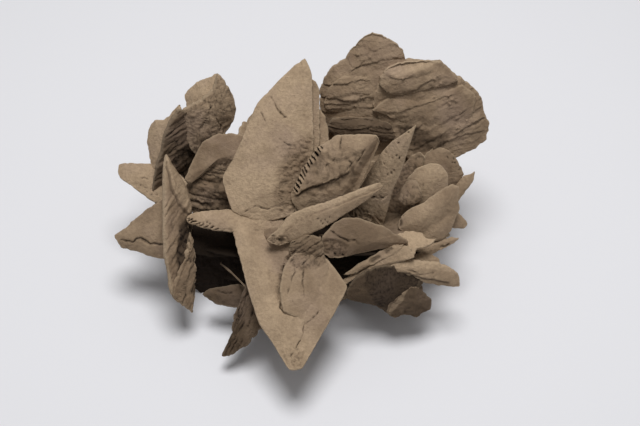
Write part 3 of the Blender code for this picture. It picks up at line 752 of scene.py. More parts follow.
def front_crystals():
    """The broad leaf that hangs down in front, the plate on it, and the bar that crosses above them."""
    drawn("front_leaf", at=(250, 222), height=78, turn=-4, tilt=74, thickness=16, bow=-3, navel=(278, 285),
        skin=Skin(swell=0.9, ripple=0.25, nick=0.35, notch=0.2, tone=0.6, cell=0.95),
        outline=[(228, 214), (246, 213), (264, 220), (290, 234), (318, 248), (335, 268), (347, 286),
            (345, 294), (330, 321), (310, 356), (302, 369), (289, 370), (272, 343), (259, 324), (249, 294),
            (241, 264), (233, 234)],
        marks=[
            dip([(264, 236), (274, 262), (282, 300)], 9, 5),
            crack([(291, 254), (285, 263), (281, 273), (279, 286), (278.5, 299)], 1.7, 6),
            crack([(279, 298), (280, 306), (284, 314)], 0.7, 2),
            # painted shadow of the cross bar in the valley left of the plate
            patch([(262, 238), (284, 248), (292, 252), (284, 264), (279, 280), (272, 262)], tone=-0.8,
                soft=7, dark=0.1),
            crack([(305, 320), (303, 333), (298, 343), (293, 352), (288, 359)], 0.55, 1.3),
            crack([(303, 325), (311, 320), (320, 309)], 0.6, 1.1),
            crack([(308, 317), (314, 321)], 0.6, 1),
            # painted shade on the right of the leaf, past the fold
            patch([(324, 258), (348, 284), (346, 296), (330, 322), (318, 342), (302, 328), (310, 306),
                (322, 286)], tone=-0.6, soft=6),
            patch([(240, 217), (262, 222), (290, 234), (282, 242), (262, 236)], rough=0.8, size=5,
                tone=-0.15, soft=5),
            patch([(282, 352), (292, 346), (304, 352), (300, 366), (288, 366)], rough=1.2, size=4,
                tone=-0.1, soft=3)])
    drawn("front_plate", at=(286, 280), height=72, turn=34, tilt=64, thickness=9,
        skin=Skin(swell=0.7, ripple=0.4, nick=0.6, tone=-0.05, cell=0.9),
        outline=[(300, 250), (290, 257), (283, 269), (279.5, 287), (280, 299), (284, 312), (296, 318),
            (304, 320), (313, 311), (322, 298), (328, 283), (329, 267), (324, 254), (312, 246)],
        marks=[
            crack([(309, 263), (304, 270), (303, 280), (304, 291), (305, 299)], 0.6, 1.6),
            crack([(296, 268), (292, 279), (288, 291), (286, 296)], 0.55, 1.2),
            crack([(291, 298), (296, 306)], 0.6, 0.8),
            patch([(290, 250), (326, 246), (328, 262), (316, 268), (300, 270), (290, 264)], rough=0.8,
                size=3.6, tone=-0.5, soft=4, dark=0.15),
            streaks([(290, 248), (326, 248), (324, 266), (300, 272), (290, 266)], lean=46, pitch=3.4,
                rise=2.2, soft=4, dark=1),
            dip([(320, 262), (326, 282), (318, 300)], 5, -0.6)])
    drawn("front_crest", at=(262, 222), height=76.5, turn=2, tilt=68, thickness=8,
        skin=Skin(ripple=0.8, rough=0.3, size=7.0, tone=0.35),
        outline=[(235, 218), (252, 211), (264, 210), (276, 216), (290, 222), (284, 238), (268, 244),
            (250, 238), (239, 228)])
    drawn("cross_bar", at=(330, 212), height=106, turn=0, tilt=40, thickness=9, edge=5, navel=(326, 214),
        skin=Skin(swell=0.5, ripple=0.3, nick=0.4, tone=-0.05, cell=0.9),
        outline=[(266, 240), (276, 230), (290, 214), (310, 206), (330, 200), (354, 191), (370, 185),
            (380, 182), (383, 186), (378, 191), (365, 202), (347, 213), (334, 222), (317, 231), (296, 240),
            (278, 246)],
        marks=[
            step([(383, 188), (366, 195), (342, 205), (318, 213), (300, 221), (284, 234)], rise=1.2,
                fall=40, dark=0.25),
            patch([(268, 238), (276, 230), (290, 214), (310, 205), (330, 199), (354, 190), (372, 183),
                (378, 186), (356, 196), (330, 207), (308, 214), (292, 222), (280, 238)], rise=0.2, tone=0.7),
            pits([(318, 219), (321, 221), (325, 220), (323, 223), (330, 217), (327, 222)], 0.8, 1.4),
            pits([(279, 240), (281, 240)], 1.4, 3.5),
            patch([(268, 240), (272, 235), (286, 236), (292, 243), (276, 247)], rough=2.2, size=4,
                tone=-0.2)])
    # painted shade: the smooth face in the hollow under the cross bar is darker
    drawn("hollow_left", at=(280, 245), height=72, turn=-40, tilt=40,
        skin=Skin(ripple=0.5, tone=-0.5, dark=0.1),
        outline=[(262, 232), (274, 226), (290, 230), (297, 240), (294, 252), (290, 262), (278, 262),
            (266, 248)])
    # painted shade: the rough wall of the hollow is darkened all over
    drawn("hollow_rough", at=(306, 246), height=82, turn=5, tilt=45, thickness=14,
        skin=BROKEN._replace(rough=1.6, size=4.5, tone=-0.6, dark=0.3, cell=0.8),
        outline=[(288, 251), (292, 240), (306, 234), (321, 236), (325, 246), (324, 256), (312, 263),
            (296, 262)],
        marks=[
            streaks([(286, 232), (328, 232), (328, 266), (286, 266)], lean=36, pitch=3.6, rise=2.4, dark=1)])


def middle_crystals():
    """The toothed block beside the tall leaf and the spike that rises behind its right side."""
    drawn("toothed_block", at=(335, 165), height=130, turn=-12, tilt=38, thickness=24, edge=5,
        navel=(336, 168), skin=Skin(swell=1.0, ripple=0.6, grain=0.25, nick=0.5, tone=-0.1, cell=0.95),
        outline=[(291, 192), (298, 177), (306, 163), (317, 147), (330, 139), (337, 135), (360, 134),
            (376, 135), (380, 141), (376, 152), (370, 166), (364, 179), (355, 195), (340, 205), (318, 214),
            (300, 212), (292, 202)],
        marks=[
            comb([(291, 191), (298, 176), (306, 162), (318, 144)], pitch=4.6, reach=6.5, depth=5, slant=0.4),
            facet([(377, 132), (366, 152), (352, 174), (343, 198)], 0.7),
            crack([(343, 134), (341, 141), (340, 147), (339, 152)], 0.7, 2.2),
            crack([(336, 157), (330, 163), (324, 168)], 0.7, 1.6),
            crack([(346, 158), (352, 164), (345, 172), (336, 174)], 0.7, 1.6),
            crack([(366, 146), (362, 156), (356, 163)], 0.8, 1.4),
            patch([(316, 152), (340, 152), (366, 150), (362, 166), (352, 186), (330, 190), (300, 198),
                (306, 180)], rough=3.2, size=11, tone=-0.2, soft=9),
            step([(294, 197), (308, 188), (324, 184), (340, 176), (352, 170)], rise=3, fall=14, dark=0.9),
            patch([(372, 134), (382, 140), (368, 170), (356, 192), (350, 184), (362, 160)], tone=-0.3,
                soft=4)])
    drawn("block_foot", at=(325, 198), height=100, turn=-5, tilt=42, thickness=16,
        skin=BROKEN._replace(rough=3.0, size=7.0, tone=-0.2),
        outline=[(294, 208), (300, 196), (318, 186), (345, 172), (358, 176), (356, 196), (338, 212),
            (310, 222), (296, 220)])
    drawn("spike", at=(385, 185), height=104, turn=-20, tilt=22, thickness=9, edge=2, navel=(383, 180),
        skin=Skin(swell=0.5, ripple=0.15, nick=0.3, notch=0.1, tone=0.8),
        outline=[(416, 125), (406, 132), (392, 141), (382, 152), (370, 170), (363, 182), (352, 200),
            (348, 214), (360, 222), (382, 228), (393, 191), (402, 170), (408, 151), (414, 132)],
        marks=[
            pits([(408, 133), (399, 143), (396, 156), (399, 158), (392, 159), (384, 163), (394, 171),
                (391, 173), (388, 175), (378, 151), (386, 152)], 0.75),
            crack([(368, 203), (374, 197), (380, 198), (388, 196)], 0.9, 2.4),
            patch([(350, 205), (362, 208), (384, 222), (380, 230), (348, 222)], rough=2, size=4, tone=-0.2,
                soft=3),
            patch([(366, 168), (380, 158), (386, 180), (374, 196), (360, 192)], rough=0.7, size=5, tone=0.1,
                soft=8)])


def slab_crystals():
    """The slab that stands at the back, built up of plates and lobes whose ledges run across it."""
    drawn("slab_back", at=(350, 150), height=88, turn=-8, tilt=28, thickness=24, edge=4, navel=(358, 95),
        skin=SLAB._replace(lean=4.0, gap=13.0, tone=-0.35),
        outline=[(372, 32), (364, 36), (349, 50), (346, 57), (332, 66), (322, 80), (319, 92), (320, 118),
            (326, 150), (340, 185), (370, 185), (395, 140), (405, 110), (409, 70), (403, 50), (395, 42),
            (383, 36)],
        marks=[
            step([(349, 71), (362, 66), (372, 63), (384, 60), (400, 57)], rise=1.3, fall=8, dark=0.22),
            step([(321, 84), (334, 85), (346, 81), (357, 77)], rise=1.8, dark=0.33),
            step([(319, 96), (330, 97), (342, 101), (356, 99), (366, 93)], rise=2.1, dark=0.39),
            step([(320, 112), (332, 113), (344, 108), (358, 106)], rise=1.9, fall=8, dark=0.39),
            pits([(357, 55), (370, 57)], 1.6, -2.2),
            dip([(352, 60), (374, 70), (400, 70)], 5, 1.2)])
    drawn("slab_front", at=(430, 110), height=130, turn=6, tilt=30, thickness=24, edge=10, navel=(430, 108),
        skin=SLAB._replace(lean=24.0, gap=14.0, tone=-0.3),
        outline=[(372, 104), (376, 84), (388, 66), (409, 58), (428, 61), (441, 60), (451, 70), (462, 77),
            (477, 90), (482, 97), (483, 109), (489, 122), (485, 139), (479, 145), (460, 155), (445, 166),
            (420, 170), (398, 150), (382, 128)],
        marks=[
            step([(452, 121), (462, 116), (472, 112), (484, 104)], rise=1.4, fall=10, dark=0.28),
            step([(452, 136), (464, 128), (474, 122), (487, 116)], rise=1.9, fall=8, dark=0.39),
            step([(430, 152), (448, 140), (466, 134), (486, 130)], rise=1.6, fall=10, dark=0.22),
            # painted shade under the overhanging step
            patch([(396, 126), (416, 127), (432, 136), (450, 134), (444, 148), (424, 153), (402, 142)],
                rise=-0.6, rough=1, tone=-0.8, soft=5, dark=0.35),
            pits([(456, 128), (460, 125), (466, 121), (462, 128)], 1.2, -1.8)])
    layer("slab_lobe", of="slab_front", step=8, thickness=15, edge=8,
        skin=SLAB._replace(ledge=0.6, lean=16.0, gap=9.0, nick=0.6, tone=-0.2),
        outline=[(380, 76), (387, 67), (400, 62), (422, 60), (441, 61), (452, 70), (458, 80), (446, 85),
            (428, 88), (412, 93), (398, 95), (386, 92), (379, 85)],
        marks=[
            step([(380, 90), (392, 94), (406, 93), (418, 88), (430, 80), (442, 75)], rise=1.3, dark=0.33),
            step([(386, 76), (402, 79), (420, 75), (436, 69)], rise=1.1, fall=8, dark=0.19),
            facet([(384, 71), (397, 76), (412, 73), (428, 68), (440, 62)], 0.5),
            patch([(384, 70), (398, 60), (440, 58), (438, 63), (428, 68), (412, 73), (396, 76)], tone=0.9,
                soft=1.5),
            pits([(403, 78), (436, 71), (439, 78), (435, 79), (441, 84)], 1.4, -2)])
    layer("slab_step", of="slab_front", step=6, thickness=17, edge=6,
        skin=SLAB._replace(ledge=0.9, lean=24.0, gap=12.0, nick=0.6, notch=0.3),
        outline=[(372, 110), (386, 98), (412, 96), (440, 90), (462, 84), (476, 96), (470, 118), (448, 132),
            (428, 134), (416, 127), (400, 121), (383, 114)],
        marks=[
            step([(372, 111), (383, 115), (400, 122), (416, 128), (424, 136)], rise=1.6, fall=12, dark=0.28),
            step([(398, 112), (416, 106), (436, 100), (458, 92)], rise=1.1, dark=0.17),
            step([(438, 126), (452, 118), (468, 108)], rise=1.4, dark=0.28),
            pits([(434, 96), (448, 96), (452, 100), (455, 101), (450, 103)], 1.5, -2.2)])
    layer("slab_ledge", of="slab_back", step=6, thickness=16, edge=5,
        skin=SLAB._replace(lean=6.0, gap=9.0, tone=-0.4),
        outline=[(324, 102), (330, 84), (344, 74), (366, 74), (382, 84), (380, 104), (362, 112), (340, 114),
            (327, 110)],
        marks=[
            step([(324, 98), (338, 99), (350, 102), (364, 98), (378, 90)], rise=1.6, fall=8, dark=0.39),
            step([(330, 84), (346, 84), (360, 80), (374, 80)], rise=1.3, fall=8, dark=0.28),
            crack([(344, 92), (346, 96)], 0.8, 1.4)])
    # painted shadow: the sill under the overhanging step is darkened all over
    layer("slab_sill", of="slab_back", step=8, thickness=18, edge=6,
        skin=SLAB._replace(lean=-4.0, gap=8.0, tone=-1.0, dark=0.45),
        outline=[(326, 128), (332, 118), (350, 114), (376, 116), (396, 124), (400, 136), (384, 142),
            (356, 138), (336, 138)],
        marks=[
            step([(324, 124), (338, 128), (352, 130), (372, 127), (392, 130)], rise=1.6, fall=8),
            step([(330, 116), (346, 119), (360, 117), (376, 121)], rise=1.3, fall=7, dark=0.39)])
    layer("slab_rear_scale", of="slab_back", step=-9, thickness=15, edge=5,
        skin=SLAB._replace(cell=BACK_CELL),
        outline=[(336, 78), (352, 60), (376, 58), (394, 78), (392, 112), (372, 140), (346, 128),
            (332, 104)])
    layer("slab_rear_step", of="slab_front", step=-9, thickness=15, edge=6,
        skin=SLAB._replace(cell=BACK_CELL),
        outline=[(408, 82), (430, 74), (456, 86), (472, 108), (464, 134), (440, 148), (414, 138),
            (402, 110)])


def right_crystals():
    """The rosette of rounded plates on the right, with the shards behind it."""
    drawn("right_rear", at=(440, 165), height=86, turn=15, tilt=35, thickness=14,
        skin=Skin(ripple=0.6, nick=0.9, tone=-0.55),
        outline=[(420, 160), (424, 156), (432, 148), (443, 147), (453, 153), (459, 163), (464, 174),
            (461, 183), (450, 200), (430, 204), (414, 190)],
        marks=[
            pits([(448, 158), (452, 162), (455, 163), (454, 159), (460, 170)], 0.8, 1.4),
            streaks([(450, 168), (466, 160), (470, 190), (446, 196)], lean=8, pitch=2.4, rise=0.9)])
    drawn("right_root", at=(400, 190), height=76, turn=-25, tilt=35, thickness=10,
        skin=Skin(rough=1.0, ripple=0.5, tone=-0.5),
        outline=[(384, 218), (392, 190), (400, 170), (410, 157), (420, 151), (426, 158), (420, 172),
            (414, 190), (410, 214), (402, 228), (388, 230)])
    drawn("right_round", at=(430, 180), height=92, turn=5, tilt=38, thickness=13,
        skin=Skin(swell=0.6, ripple=0.3, nick=0.3, notch=0.2, tone=0.45),
        outline=[(407, 180), (409, 176), (417, 168), (431, 163), (441, 165), (448, 174), (448, 186),
            (440, 200), (424, 208), (410, 202)],
        marks=[
            crack([(424, 190), (423, 186), (425, 182)], 0.6, 0.8),
            streaks([(398, 190), (414, 182), (420, 204), (396, 214)], lean=62, pitch=2.4, rise=0.8)])
    drawn("right_block", at=(412, 190), height=93, turn=-5, tilt=40, thickness=14, edge=5,
        skin=Skin(ripple=0.5, rough=0.6, size=4.0, nick=0.5, tone=-0.25),
        outline=[(400, 190), (407, 181), (416, 180), (421, 188), (422, 198), (416, 206), (404, 206),
            (398, 200)],
        marks=[
            step([(404, 206), (412, 207), (420, 202), (422, 190)], rise=1.4, dark=0.9)])
    drawn("right_plate", at=(430, 212), height=81, turn=8, tilt=40, thickness=13,
        skin=Skin(swell=0.8, ripple=0.35, nick=0.5, tone=0.0),
        outline=[(398, 228), (401, 216), (411, 208), (424, 202), (437, 192), (451, 184), (459, 186),
            (458, 198), (460, 208), (456, 219), (451, 231), (441, 240), (424, 242), (408, 238)],
        marks=[
            dip([(424, 234), (438, 222), (448, 214)], 3.5, 1.6),
            dip([(410, 226), (428, 212), (446, 198)], 7, -1.2),
            crack([(398, 216), (402, 222), (399, 228)], 1, 2),
            pits([(403, 215), (420, 196), (424, 191)], 0.8, 1.6)])
    drawn("right_shard", at=(466, 185), height=69, turn=-25, tilt=40, thickness=6, edge=2,
        skin=Skin(ripple=0.2, tone=0.2),
        outline=[(475, 171), (473, 182), (459, 201), (444, 218), (432, 214), (446, 192), (464, 176)])
    drawn("right_chip", at=(460, 222), height=60, turn=20, tilt=50, thickness=8, edge=3,
        outline=[(458, 212), (464, 218), (468, 224), (464, 229), (448, 228), (426, 222), (434, 212)])
    drawn("lower_leaf", at=(365, 238), height=84, turn=10, tilt=36, thickness=14,
        skin=Skin(swell=0.8, ripple=0.35, nick=0.4, tone=-0.95, dark=0.13),
        outline=[(321, 252), (322, 236), (334, 223), (344, 218), (354, 217), (365, 220), (384, 226),
            (396, 234), (406, 239), (408, 243), (392, 247), (376, 250), (357, 254), (341, 258), (330, 258)],
        marks=[
            crack([(326, 228), (334, 234), (342, 239), (348, 242), (356, 241), (361, 246)], 0.9, 2.4),
            patch([(320, 238), (338, 240), (348, 246), (344, 258), (324, 258)], rise=-1.2, rough=2.4,
                size=5, tone=-0.2, soft=3, dark=0.1),
            dip([(340, 226), (354, 236)], 6, 1)])
    drawn("pale_plate", at=(412, 243), height=70, turn=0, tilt=78, thickness=7, edge=3,
        skin=Skin(swell=0.4, ripple=0.15, nick=1.0, notch=1.0, tone=1.8, cell=0.8),
        outline=[(390, 248), (396, 236), (402, 232), (411, 231), (423, 234), (426, 238), (437, 239),
            (431, 246), (419, 250), (414, 256), (404, 258), (394, 256)])
    drawn("long_prong", at=(370, 262), height=60, turn=-25, tilt=48, thickness=9, edge=4,
        skin=Skin(swell=0.5, ripple=0.3, tone=0.3, cell=0.8),
        outline=[(335, 286), (350, 274), (366, 262), (384, 250), (396, 244), (412, 248), (414, 258),
            (400, 262), (386, 268), (370, 275), (352, 281), (342, 287)],
        marks=[
            crack([(368, 263), (379, 256), (393, 248)], 2.2, 5)])
    drawn("short_prong", at=(372, 258), height=66, turn=-20, tilt=50, thickness=7, edge=3,
        skin=Skin(swell=0.5, ripple=0.3, tone=0.1, cell=0.8),
        outline=[(343, 275), (356, 265), (374, 254), (391, 246), (404, 244), (400, 252), (384, 260),
            (368, 268), (352, 275)],
        marks=[
            crack([(368, 263), (379, 256), (393, 248)], 2.2, 5)])
    drawn("end_bar", at=(430, 273), height=52, turn=10, tilt=34, thickness=11, edge=5,
        skin=Skin(ripple=0.5, tone=0.1, cell=0.8),
        outline=[(388, 266), (400, 260), (418, 260), (438, 262), (450, 267), (458, 273), (460, 279),
            (459, 286), (444, 286), (424, 282), (410, 275), (394, 272)],
        marks=[
            step([(394, 272), (408, 273), (424, 277), (440, 280), (452, 283)], rise=1.2, fall=8, dark=0.6),
            patch([(390, 262), (402, 259), (440, 262), (452, 268), (450, 272), (430, 269), (396, 268)],
                rise=0.2, rough=0.3, size=4, tone=0.7),
            crack([(406, 270), (420, 274), (436, 273)], 0.8, 1.6)])
    drawn("right_finger", at=(445, 243), height=55, turn=-10, tilt=50, thickness=8, edge=3,
        skin=Skin(ripple=0.5, tone=0.0, cell=0.8),
        outline=[(459, 238), (455, 243), (446, 248), (434, 254), (420, 258), (404, 258), (396, 250),
            (410, 244), (424, 243), (437, 241), (451, 237)],
        marks=[
            crack([(440, 248), (446, 246), (451, 242)], 0.8, 2.4)])
    drawn("finger_ledge", at=(425, 258), height=50, turn=0, tilt=60, thickness=9, edge=3,
        outline=[(404, 264), (412, 255), (426, 252), (439, 258), (440, 263), (430, 274), (408, 272)])


def left_crystals():
    """The crown of the left side, the tall narrow blade before it, and the leaves that point outwards."""
    drawn("crown_pale", at=(200, 90), height=146, turn=-42, tilt=45,
        skin=Skin(ripple=0.5, nick=1.0, tone=0.7),
        outline=[(217, 73), (211, 76), (197, 82), (190, 88), (185, 94), (186, 104), (190, 120), (202, 130),
            (216, 118), (222, 92)],
        marks=[
            crack([(209, 77), (209, 83)], 0.6, 1.2)])
    drawn("crown_rough", at=(212, 110), height=138, turn=15, tilt=24, thickness=20, edge=5,
        navel=(212, 108), skin=BROKEN._replace(rough=0.6, size=5.0, tone=0.05, ripple=0.5),
        outline=[(217, 73), (222, 76), (227, 84), (232, 93), (235, 101), (236, 111), (234, 121), (226, 133),
            (222, 150), (208, 160), (192, 152), (182, 130), (180, 112), (192, 104), (207, 94), (214, 84)],
        marks=[
            patch([(184, 100), (212, 96), (222, 100), (230, 126), (220, 150), (196, 150), (180, 126)],
                rough=1.4, tone=-0.2, soft=6),
            crack([(207, 98), (211, 108), (207, 118), (200, 130)], 0.6),
            crack([(214, 116), (221, 126), (219, 138)], 0.6, 1.6),
            dip([(216, 76), (215, 86), (206, 95), (192, 104)], 2.2, -1)])
    # dark stone, with painted shade over it all over and more on its right part, which lies in shade
    drawn("dark_blade", at=(175, 150), height=104, turn=38, tilt=8, thickness=14, edge=3, navel=(178, 152),
        skin=Skin(swell=0.8, ripple=0.4, tone=-1.2, dark=0.4),
        outline=[(177, 110), (170, 120), (165, 131), (162, 144), (159, 155), (155, 167), (153, 182),
            (152, 196), (160, 214), (172, 232), (188, 226), (192, 200), (200, 170), (204, 140), (196, 118),
            (186, 110)],
        marks=[
            streaks([(150, 100), (206, 100), (206, 190), (150, 210)], lean=34, pitch=4, rise=2.6, soft=4,
                dark=1),
            patch([(176, 140), (206, 120), (206, 180), (170, 200), (160, 196)], rough=1, tone=-0.3, soft=6,
                dark=0.45),
            patch([(172, 112), (180, 108), (166, 150), (156, 196), (150, 196), (158, 150)], rise=0.3,
                tone=0.5, soft=3)])
    drawn("outer_pale", at=(163, 135), height=106, turn=-45, tilt=40, thickness=9,
        skin=Skin(ripple=0.5, nick=1.0, tone=0.8),
        outline=[(180, 104), (170, 115), (164, 119), (155, 120), (150, 126), (148, 134), (147, 142),
            (150, 156), (152, 168), (158, 170), (168, 146), (182, 118)])
    drawn("smooth_shelf", at=(215, 158), height=106, turn=0, tilt=46,
        skin=Skin(swell=0.7, ripple=0.25, tone=-0.6),
        outline=[(216, 134), (228, 133), (246, 135), (262, 146), (256, 164), (238, 164), (215, 166),
            (203, 174), (192, 184), (184, 181), (189, 168), (195, 155), (202, 142)],
        marks=[
            dip([(184, 184), (206, 166), (226, 156), (250, 150)], 3, -0.8)])
    drawn("rough_wall", at=(215, 190), height=74, turn=5, tilt=22, thickness=18, edge=5,
        skin=BROKEN._replace(rough=2.2, size=8.0, tone=-0.7),
        outline=[(186, 186), (192, 180), (204, 168), (222, 158), (244, 164), (250, 190), (246, 214),
            (226, 226), (200, 222), (188, 206)],
        marks=[
            streaks([(186, 160), (250, 160), (250, 224), (186, 224)], lean=-14, pitch=5.2, rise=3, soft=4,
                dark=0.9)])
    drawn("narrow_blade", at=(176, 230), height=72, turn=60, tilt=35, edge=4, navel=(176, 222),
        skin=Skin(swell=0.8, ripple=0.4, nick=0.5, tone=-0.65, cell=0.9),
        outline=[(166, 154), (164, 162), (163, 182), (163, 212), (163, 235), (164, 257), (168, 272),
            (169, 285), (171, 294), (178, 300), (186, 296), (188, 270), (190, 246), (192, 226), (191, 206),
            (187, 190), (181, 178), (171, 163)],
        marks=[
            streaks([(162, 196), (184, 190), (194, 214), (192, 290), (176, 306), (160, 280)], lean=58,
                pitch=3.6, rise=1.7, soft=6, dark=0.5),
            step([(165, 156), (172, 190), (180, 204), (191, 217)], rise=1.6, fall=8),
            dip([(176, 262), (186, 236), (190, 222)], 3, 1.6),
            # painted shade on the right part of the blade, which lies in shadow
            patch([(180, 226), (192, 214), (198, 300), (184, 306), (177, 284), (177, 250)], rough=0.9,
                size=5, tone=-0.8, soft=3.5, dark=0.72),
            patch([(166, 158), (172, 166), (184, 184), (192, 206), (190, 214), (180, 202), (172, 188)],
                tone=1, soft=1.5),
            patch([(162, 156), (168, 156), (168, 200), (168, 258), (174, 296), (160, 276), (160, 200)],
                rise=0.2, tone=0.6, soft=3)])
    drawn("narrow_foot", at=(186, 290), height=31, turn=52, tilt=34, thickness=10, edge=3,
        skin=Skin(ripple=0.5, nick=1.2, notch=1.4, tone=-0.6, cell=0.8, dark=0.1),
        outline=[(190, 232), (184, 254), (177, 270), (173, 284), (172, 296), (177, 302), (185, 307),
            (192, 313), (195, 296), (196, 276), (195, 254)],
        marks=[
            streaks([(168, 228), (200, 228), (200, 316), (168, 312)], lean=66, pitch=3.2, rise=2.4,
                dark=0.9)])
    drawn("outer_leaf", at=(140, 178), height=72, turn=-10, tilt=62, thickness=9, edge=3,
        skin=Skin(swell=0.5, ripple=0.25, nick=0.4, tone=0.85),
        outline=[(118, 172), (119, 165), (125, 163), (140, 163), (156, 164), (176, 170), (190, 186),
            (184, 206), (166, 208), (150, 200), (140, 193), (128, 184), (120, 178)],
        marks=[
            crack([(139, 179), (144, 177), (149, 180)], 0.6, 0.8),
            crack([(142, 186), (150, 188), (156, 191)], 0.6, 0.8),
            pits([(147, 192), (152, 194), (157, 194), (140, 185)], 0.7, 1)])
    drawn("lower_outer", at=(145, 232), height=56, turn=-15, tilt=48, thickness=15, edge=4,
        skin=Skin(swell=0.8, ripple=0.5, nick=0.8, tone=-0.2),
        outline=[(114, 235), (127, 227), (131, 222), (142, 213), (154, 204), (166, 198), (184, 208),
            (190, 232), (182, 256), (164, 259), (155, 258), (145, 255), (134, 251), (122, 248), (118, 242)],
        marks=[
            step([(176, 245), (161, 245), (150, 244), (140, 238), (133, 243), (127, 241), (118, 241)],
                rise=2.6, fall=30, dark=1),
            crack([(140, 238), (146, 242), (152, 245)], 0.9, 2.4),
            dip([(132, 226), (150, 224), (166, 214)], 4, 0.8)])
    drawn("pitted_shelf", at=(210, 220), height=79, turn=-5, tilt=74, thickness=9, edge=3,
        skin=Skin(swell=0.5, ripple=0.25, nick=0.4, tone=0.5, cell=0.8),
        outline=[(186, 220), (188, 216), (197, 212), (217, 210), (236, 209), (241, 214), (242, 222),
            (240, 230), (231, 232), (211, 230), (200, 227), (188, 223)],
        marks=[
            comb([(186, 218), (194, 221), (206, 226), (220, 229)], pitch=4.6, reach=5, depth=2.6, slant=1),
            pits([(203, 223), (207, 222), (210, 224), (189, 218), (192, 220)], 0.8, 1.6),
            patch([(206, 228), (240, 229), (256, 232), (244, 236), (210, 232)], rough=1.6, size=4,
                tone=-0.3)])


def foot_crystals():
    """The crystals round the foot, most of them darkened with painted shade: the wall of the left hollow and
    what the rose stands on.
    """
    # painted shade: the wall of the left hollow is near black all over
    drawn("hollow_wall", at=(225, 255), height=16, turn=12, tilt=24, thickness=16,
        skin=BROKEN._replace(tone=-1.0, dark=0.97),
        outline=[(188, 226), (205, 218), (232, 216), (256, 222), (268, 250), (272, 284), (262, 300),
            (236, 300), (208, 298), (192, 286), (186, 256)])
    drawn("thin_edge", at=(217, 260), height=9, turn=-76, tilt=26, thickness=1.2, edge=0.6,
        skin=Skin(nick=0.1, notch=0.0, tone=-0.6, dark=0.2),
        outline=[(217, 260), (229, 269), (243, 283), (253, 294), (252.4, 294.8), (242.3, 284.4),
            (228.3, 270.6), (216.4, 260.9)])
    # painted shade: the low crystals near the floor get a share of the shade colour all over
    drawn("foot_left", at=(222, 296), height=21, turn=-10, tilt=55, edge=4,
        skin=Skin(ripple=0.8, rough=1.6, size=5.0, tone=-1.0, dark=0.55),
        outline=[(202, 294), (210, 288), (222, 286), (238, 284), (254, 288), (256, 302), (240, 308),
            (224, 307), (212, 302)],
        marks=[
            crack([(214, 290), (226, 294), (238, 292)], 0.9, 2)])
    drawn("foot_fan", at=(244, 320), height=27, turn=-22, tilt=50, edge=4, navel=(250, 306),
        skin=Skin(swell=0.6, ripple=0.3, nick=1.2, notch=1.2, tone=-0.9, cell=0.8, dark=0.5),
        outline=[(252, 274), (246, 284), (239, 302), (233, 318), (231, 333), (226, 346), (222, 356),
            (229, 357), (237, 352), (249, 344), (260, 332), (274, 314), (280, 292), (276, 270), (262, 262)],
        marks=[
            streaks([(216, 258), (290, 258), (290, 360), (216, 360)], lean=64, pitch=3.6, rise=3.4, dark=1),
            crack([(250, 286), (243, 306), (235, 330), (228, 350)], 0.6, 2),
            crack([(257, 300), (250, 320), (243, 338), (236, 352)], 0.6, 2),
            crack([(244, 292), (238, 312), (233, 330), (225, 352)], 0.5, 1.6),
            crack([(264, 302), (258, 318), (250, 334)], 0.6)])
    # painted shade: the lens under the rosette is darkened all over, more inside its last patch
    drawn("dark_lens", at=(386, 294), height=36, turn=8, tilt=26, thickness=16, edge=3, navel=(386, 292),
        skin=Skin(ripple=0.6, rough=0.8, size=5.0, tone=-1.2, dark=0.62),
        outline=[(346, 298), (347, 288), (356, 276), (376, 266), (398, 264), (417, 272), (424, 279),
            (419, 288), (409, 300), (396, 310), (386, 313), (376, 306), (362, 303)],
        marks=[
            streaks([(340, 280), (376, 280), (376, 310), (340, 310)], lean=-4, pitch=3, rise=0.8),
            dip([(424, 274), (419, 289), (410, 300), (394, 310)], 1.4, -1.6),
            patch([(420, 272), (427, 276), (420, 292), (408, 304), (392, 313), (392, 308), (408, 298),
                (416, 288)], rise=0.2, tone=1.2, soft=1),
            patch([(364, 262), (412, 258), (428, 274), (416, 300), (398, 314), (374, 308), (362, 286)],
                rough=0.4, size=2.4, soft=9, dark=0.76)])
    # painted shade: darkened all over where it lies in shadow under the rosette
    drawn("dark_foot", at=(412, 304), height=26, turn=14, tilt=34, thickness=14, edge=3,
        skin=Skin(ripple=0.6, rough=1.4, size=5.0, nick=1.0, tone=-1.0, dark=0.55),
        outline=[(390, 300), (398, 286), (410, 278), (422, 284), (424, 291), (432, 300), (431, 309),
            (423, 313), (416, 318), (404, 314), (394, 318), (386, 312)],
        marks=[
            patch([(406, 286), (411, 286), (402, 301), (391, 314), (387, 313), (397, 300)], tone=2.4,
                soft=0.8),
            crack([(406, 296), (408, 306), (404, 314)], 0.8, 2)])
    leaf("base", heading=4, rise=0, roll=0, reach=122, width=124, thickness=26, edge=6, root=(6, 74, -12),
        blunt=0.9, skin=Skin(cell=3.0, ripple=1.2, tone=-0.4))
    leaf("heart_left", heading=-62, rise=22, roll=34, reach=96, width=84, thickness=10, root=(0, 34, 32),
        skin=DEEP_SHADE)
    leaf("heart_right", heading=60, rise=9, roll=-24, reach=104, width=90, thickness=20, skin=DEEP_SHADE)
    leaf("block_root", heading=94, rise=62, roll=0, reach=76, width=46, thickness=18, blunt=0.9, skin=DEEP_SHADE)
    leaf("heart_front", heading=0, rise=30, roll=15, reach=74, width=90, thickness=37, root=(0, 14, 36),
        skin=DEEP_SHADE)
    leaf("left_root", heading=-73, rise=6, roll=-35, reach=122, width=50, thickness=14, root=(-22, 24, 40),
        blunt=0.9, skin=DEEP_SHADE)
    leaf("right_core", heading=100, rise=3, roll=-28, reach=136, width=92, thickness=14, root=(20, 6, 46),
        blunt=0.7, skin=BROKEN._replace(rough=1.4, size=5.0, tone=-0.8, dark=0.3, cell=BACK_CELL))
    leaf("right_keel", heading=72, rise=5, roll=12, reach=112, width=74, thickness=26, root=(20, -6, 35),
        blunt=0.6, skin=DEEP_SHADE)


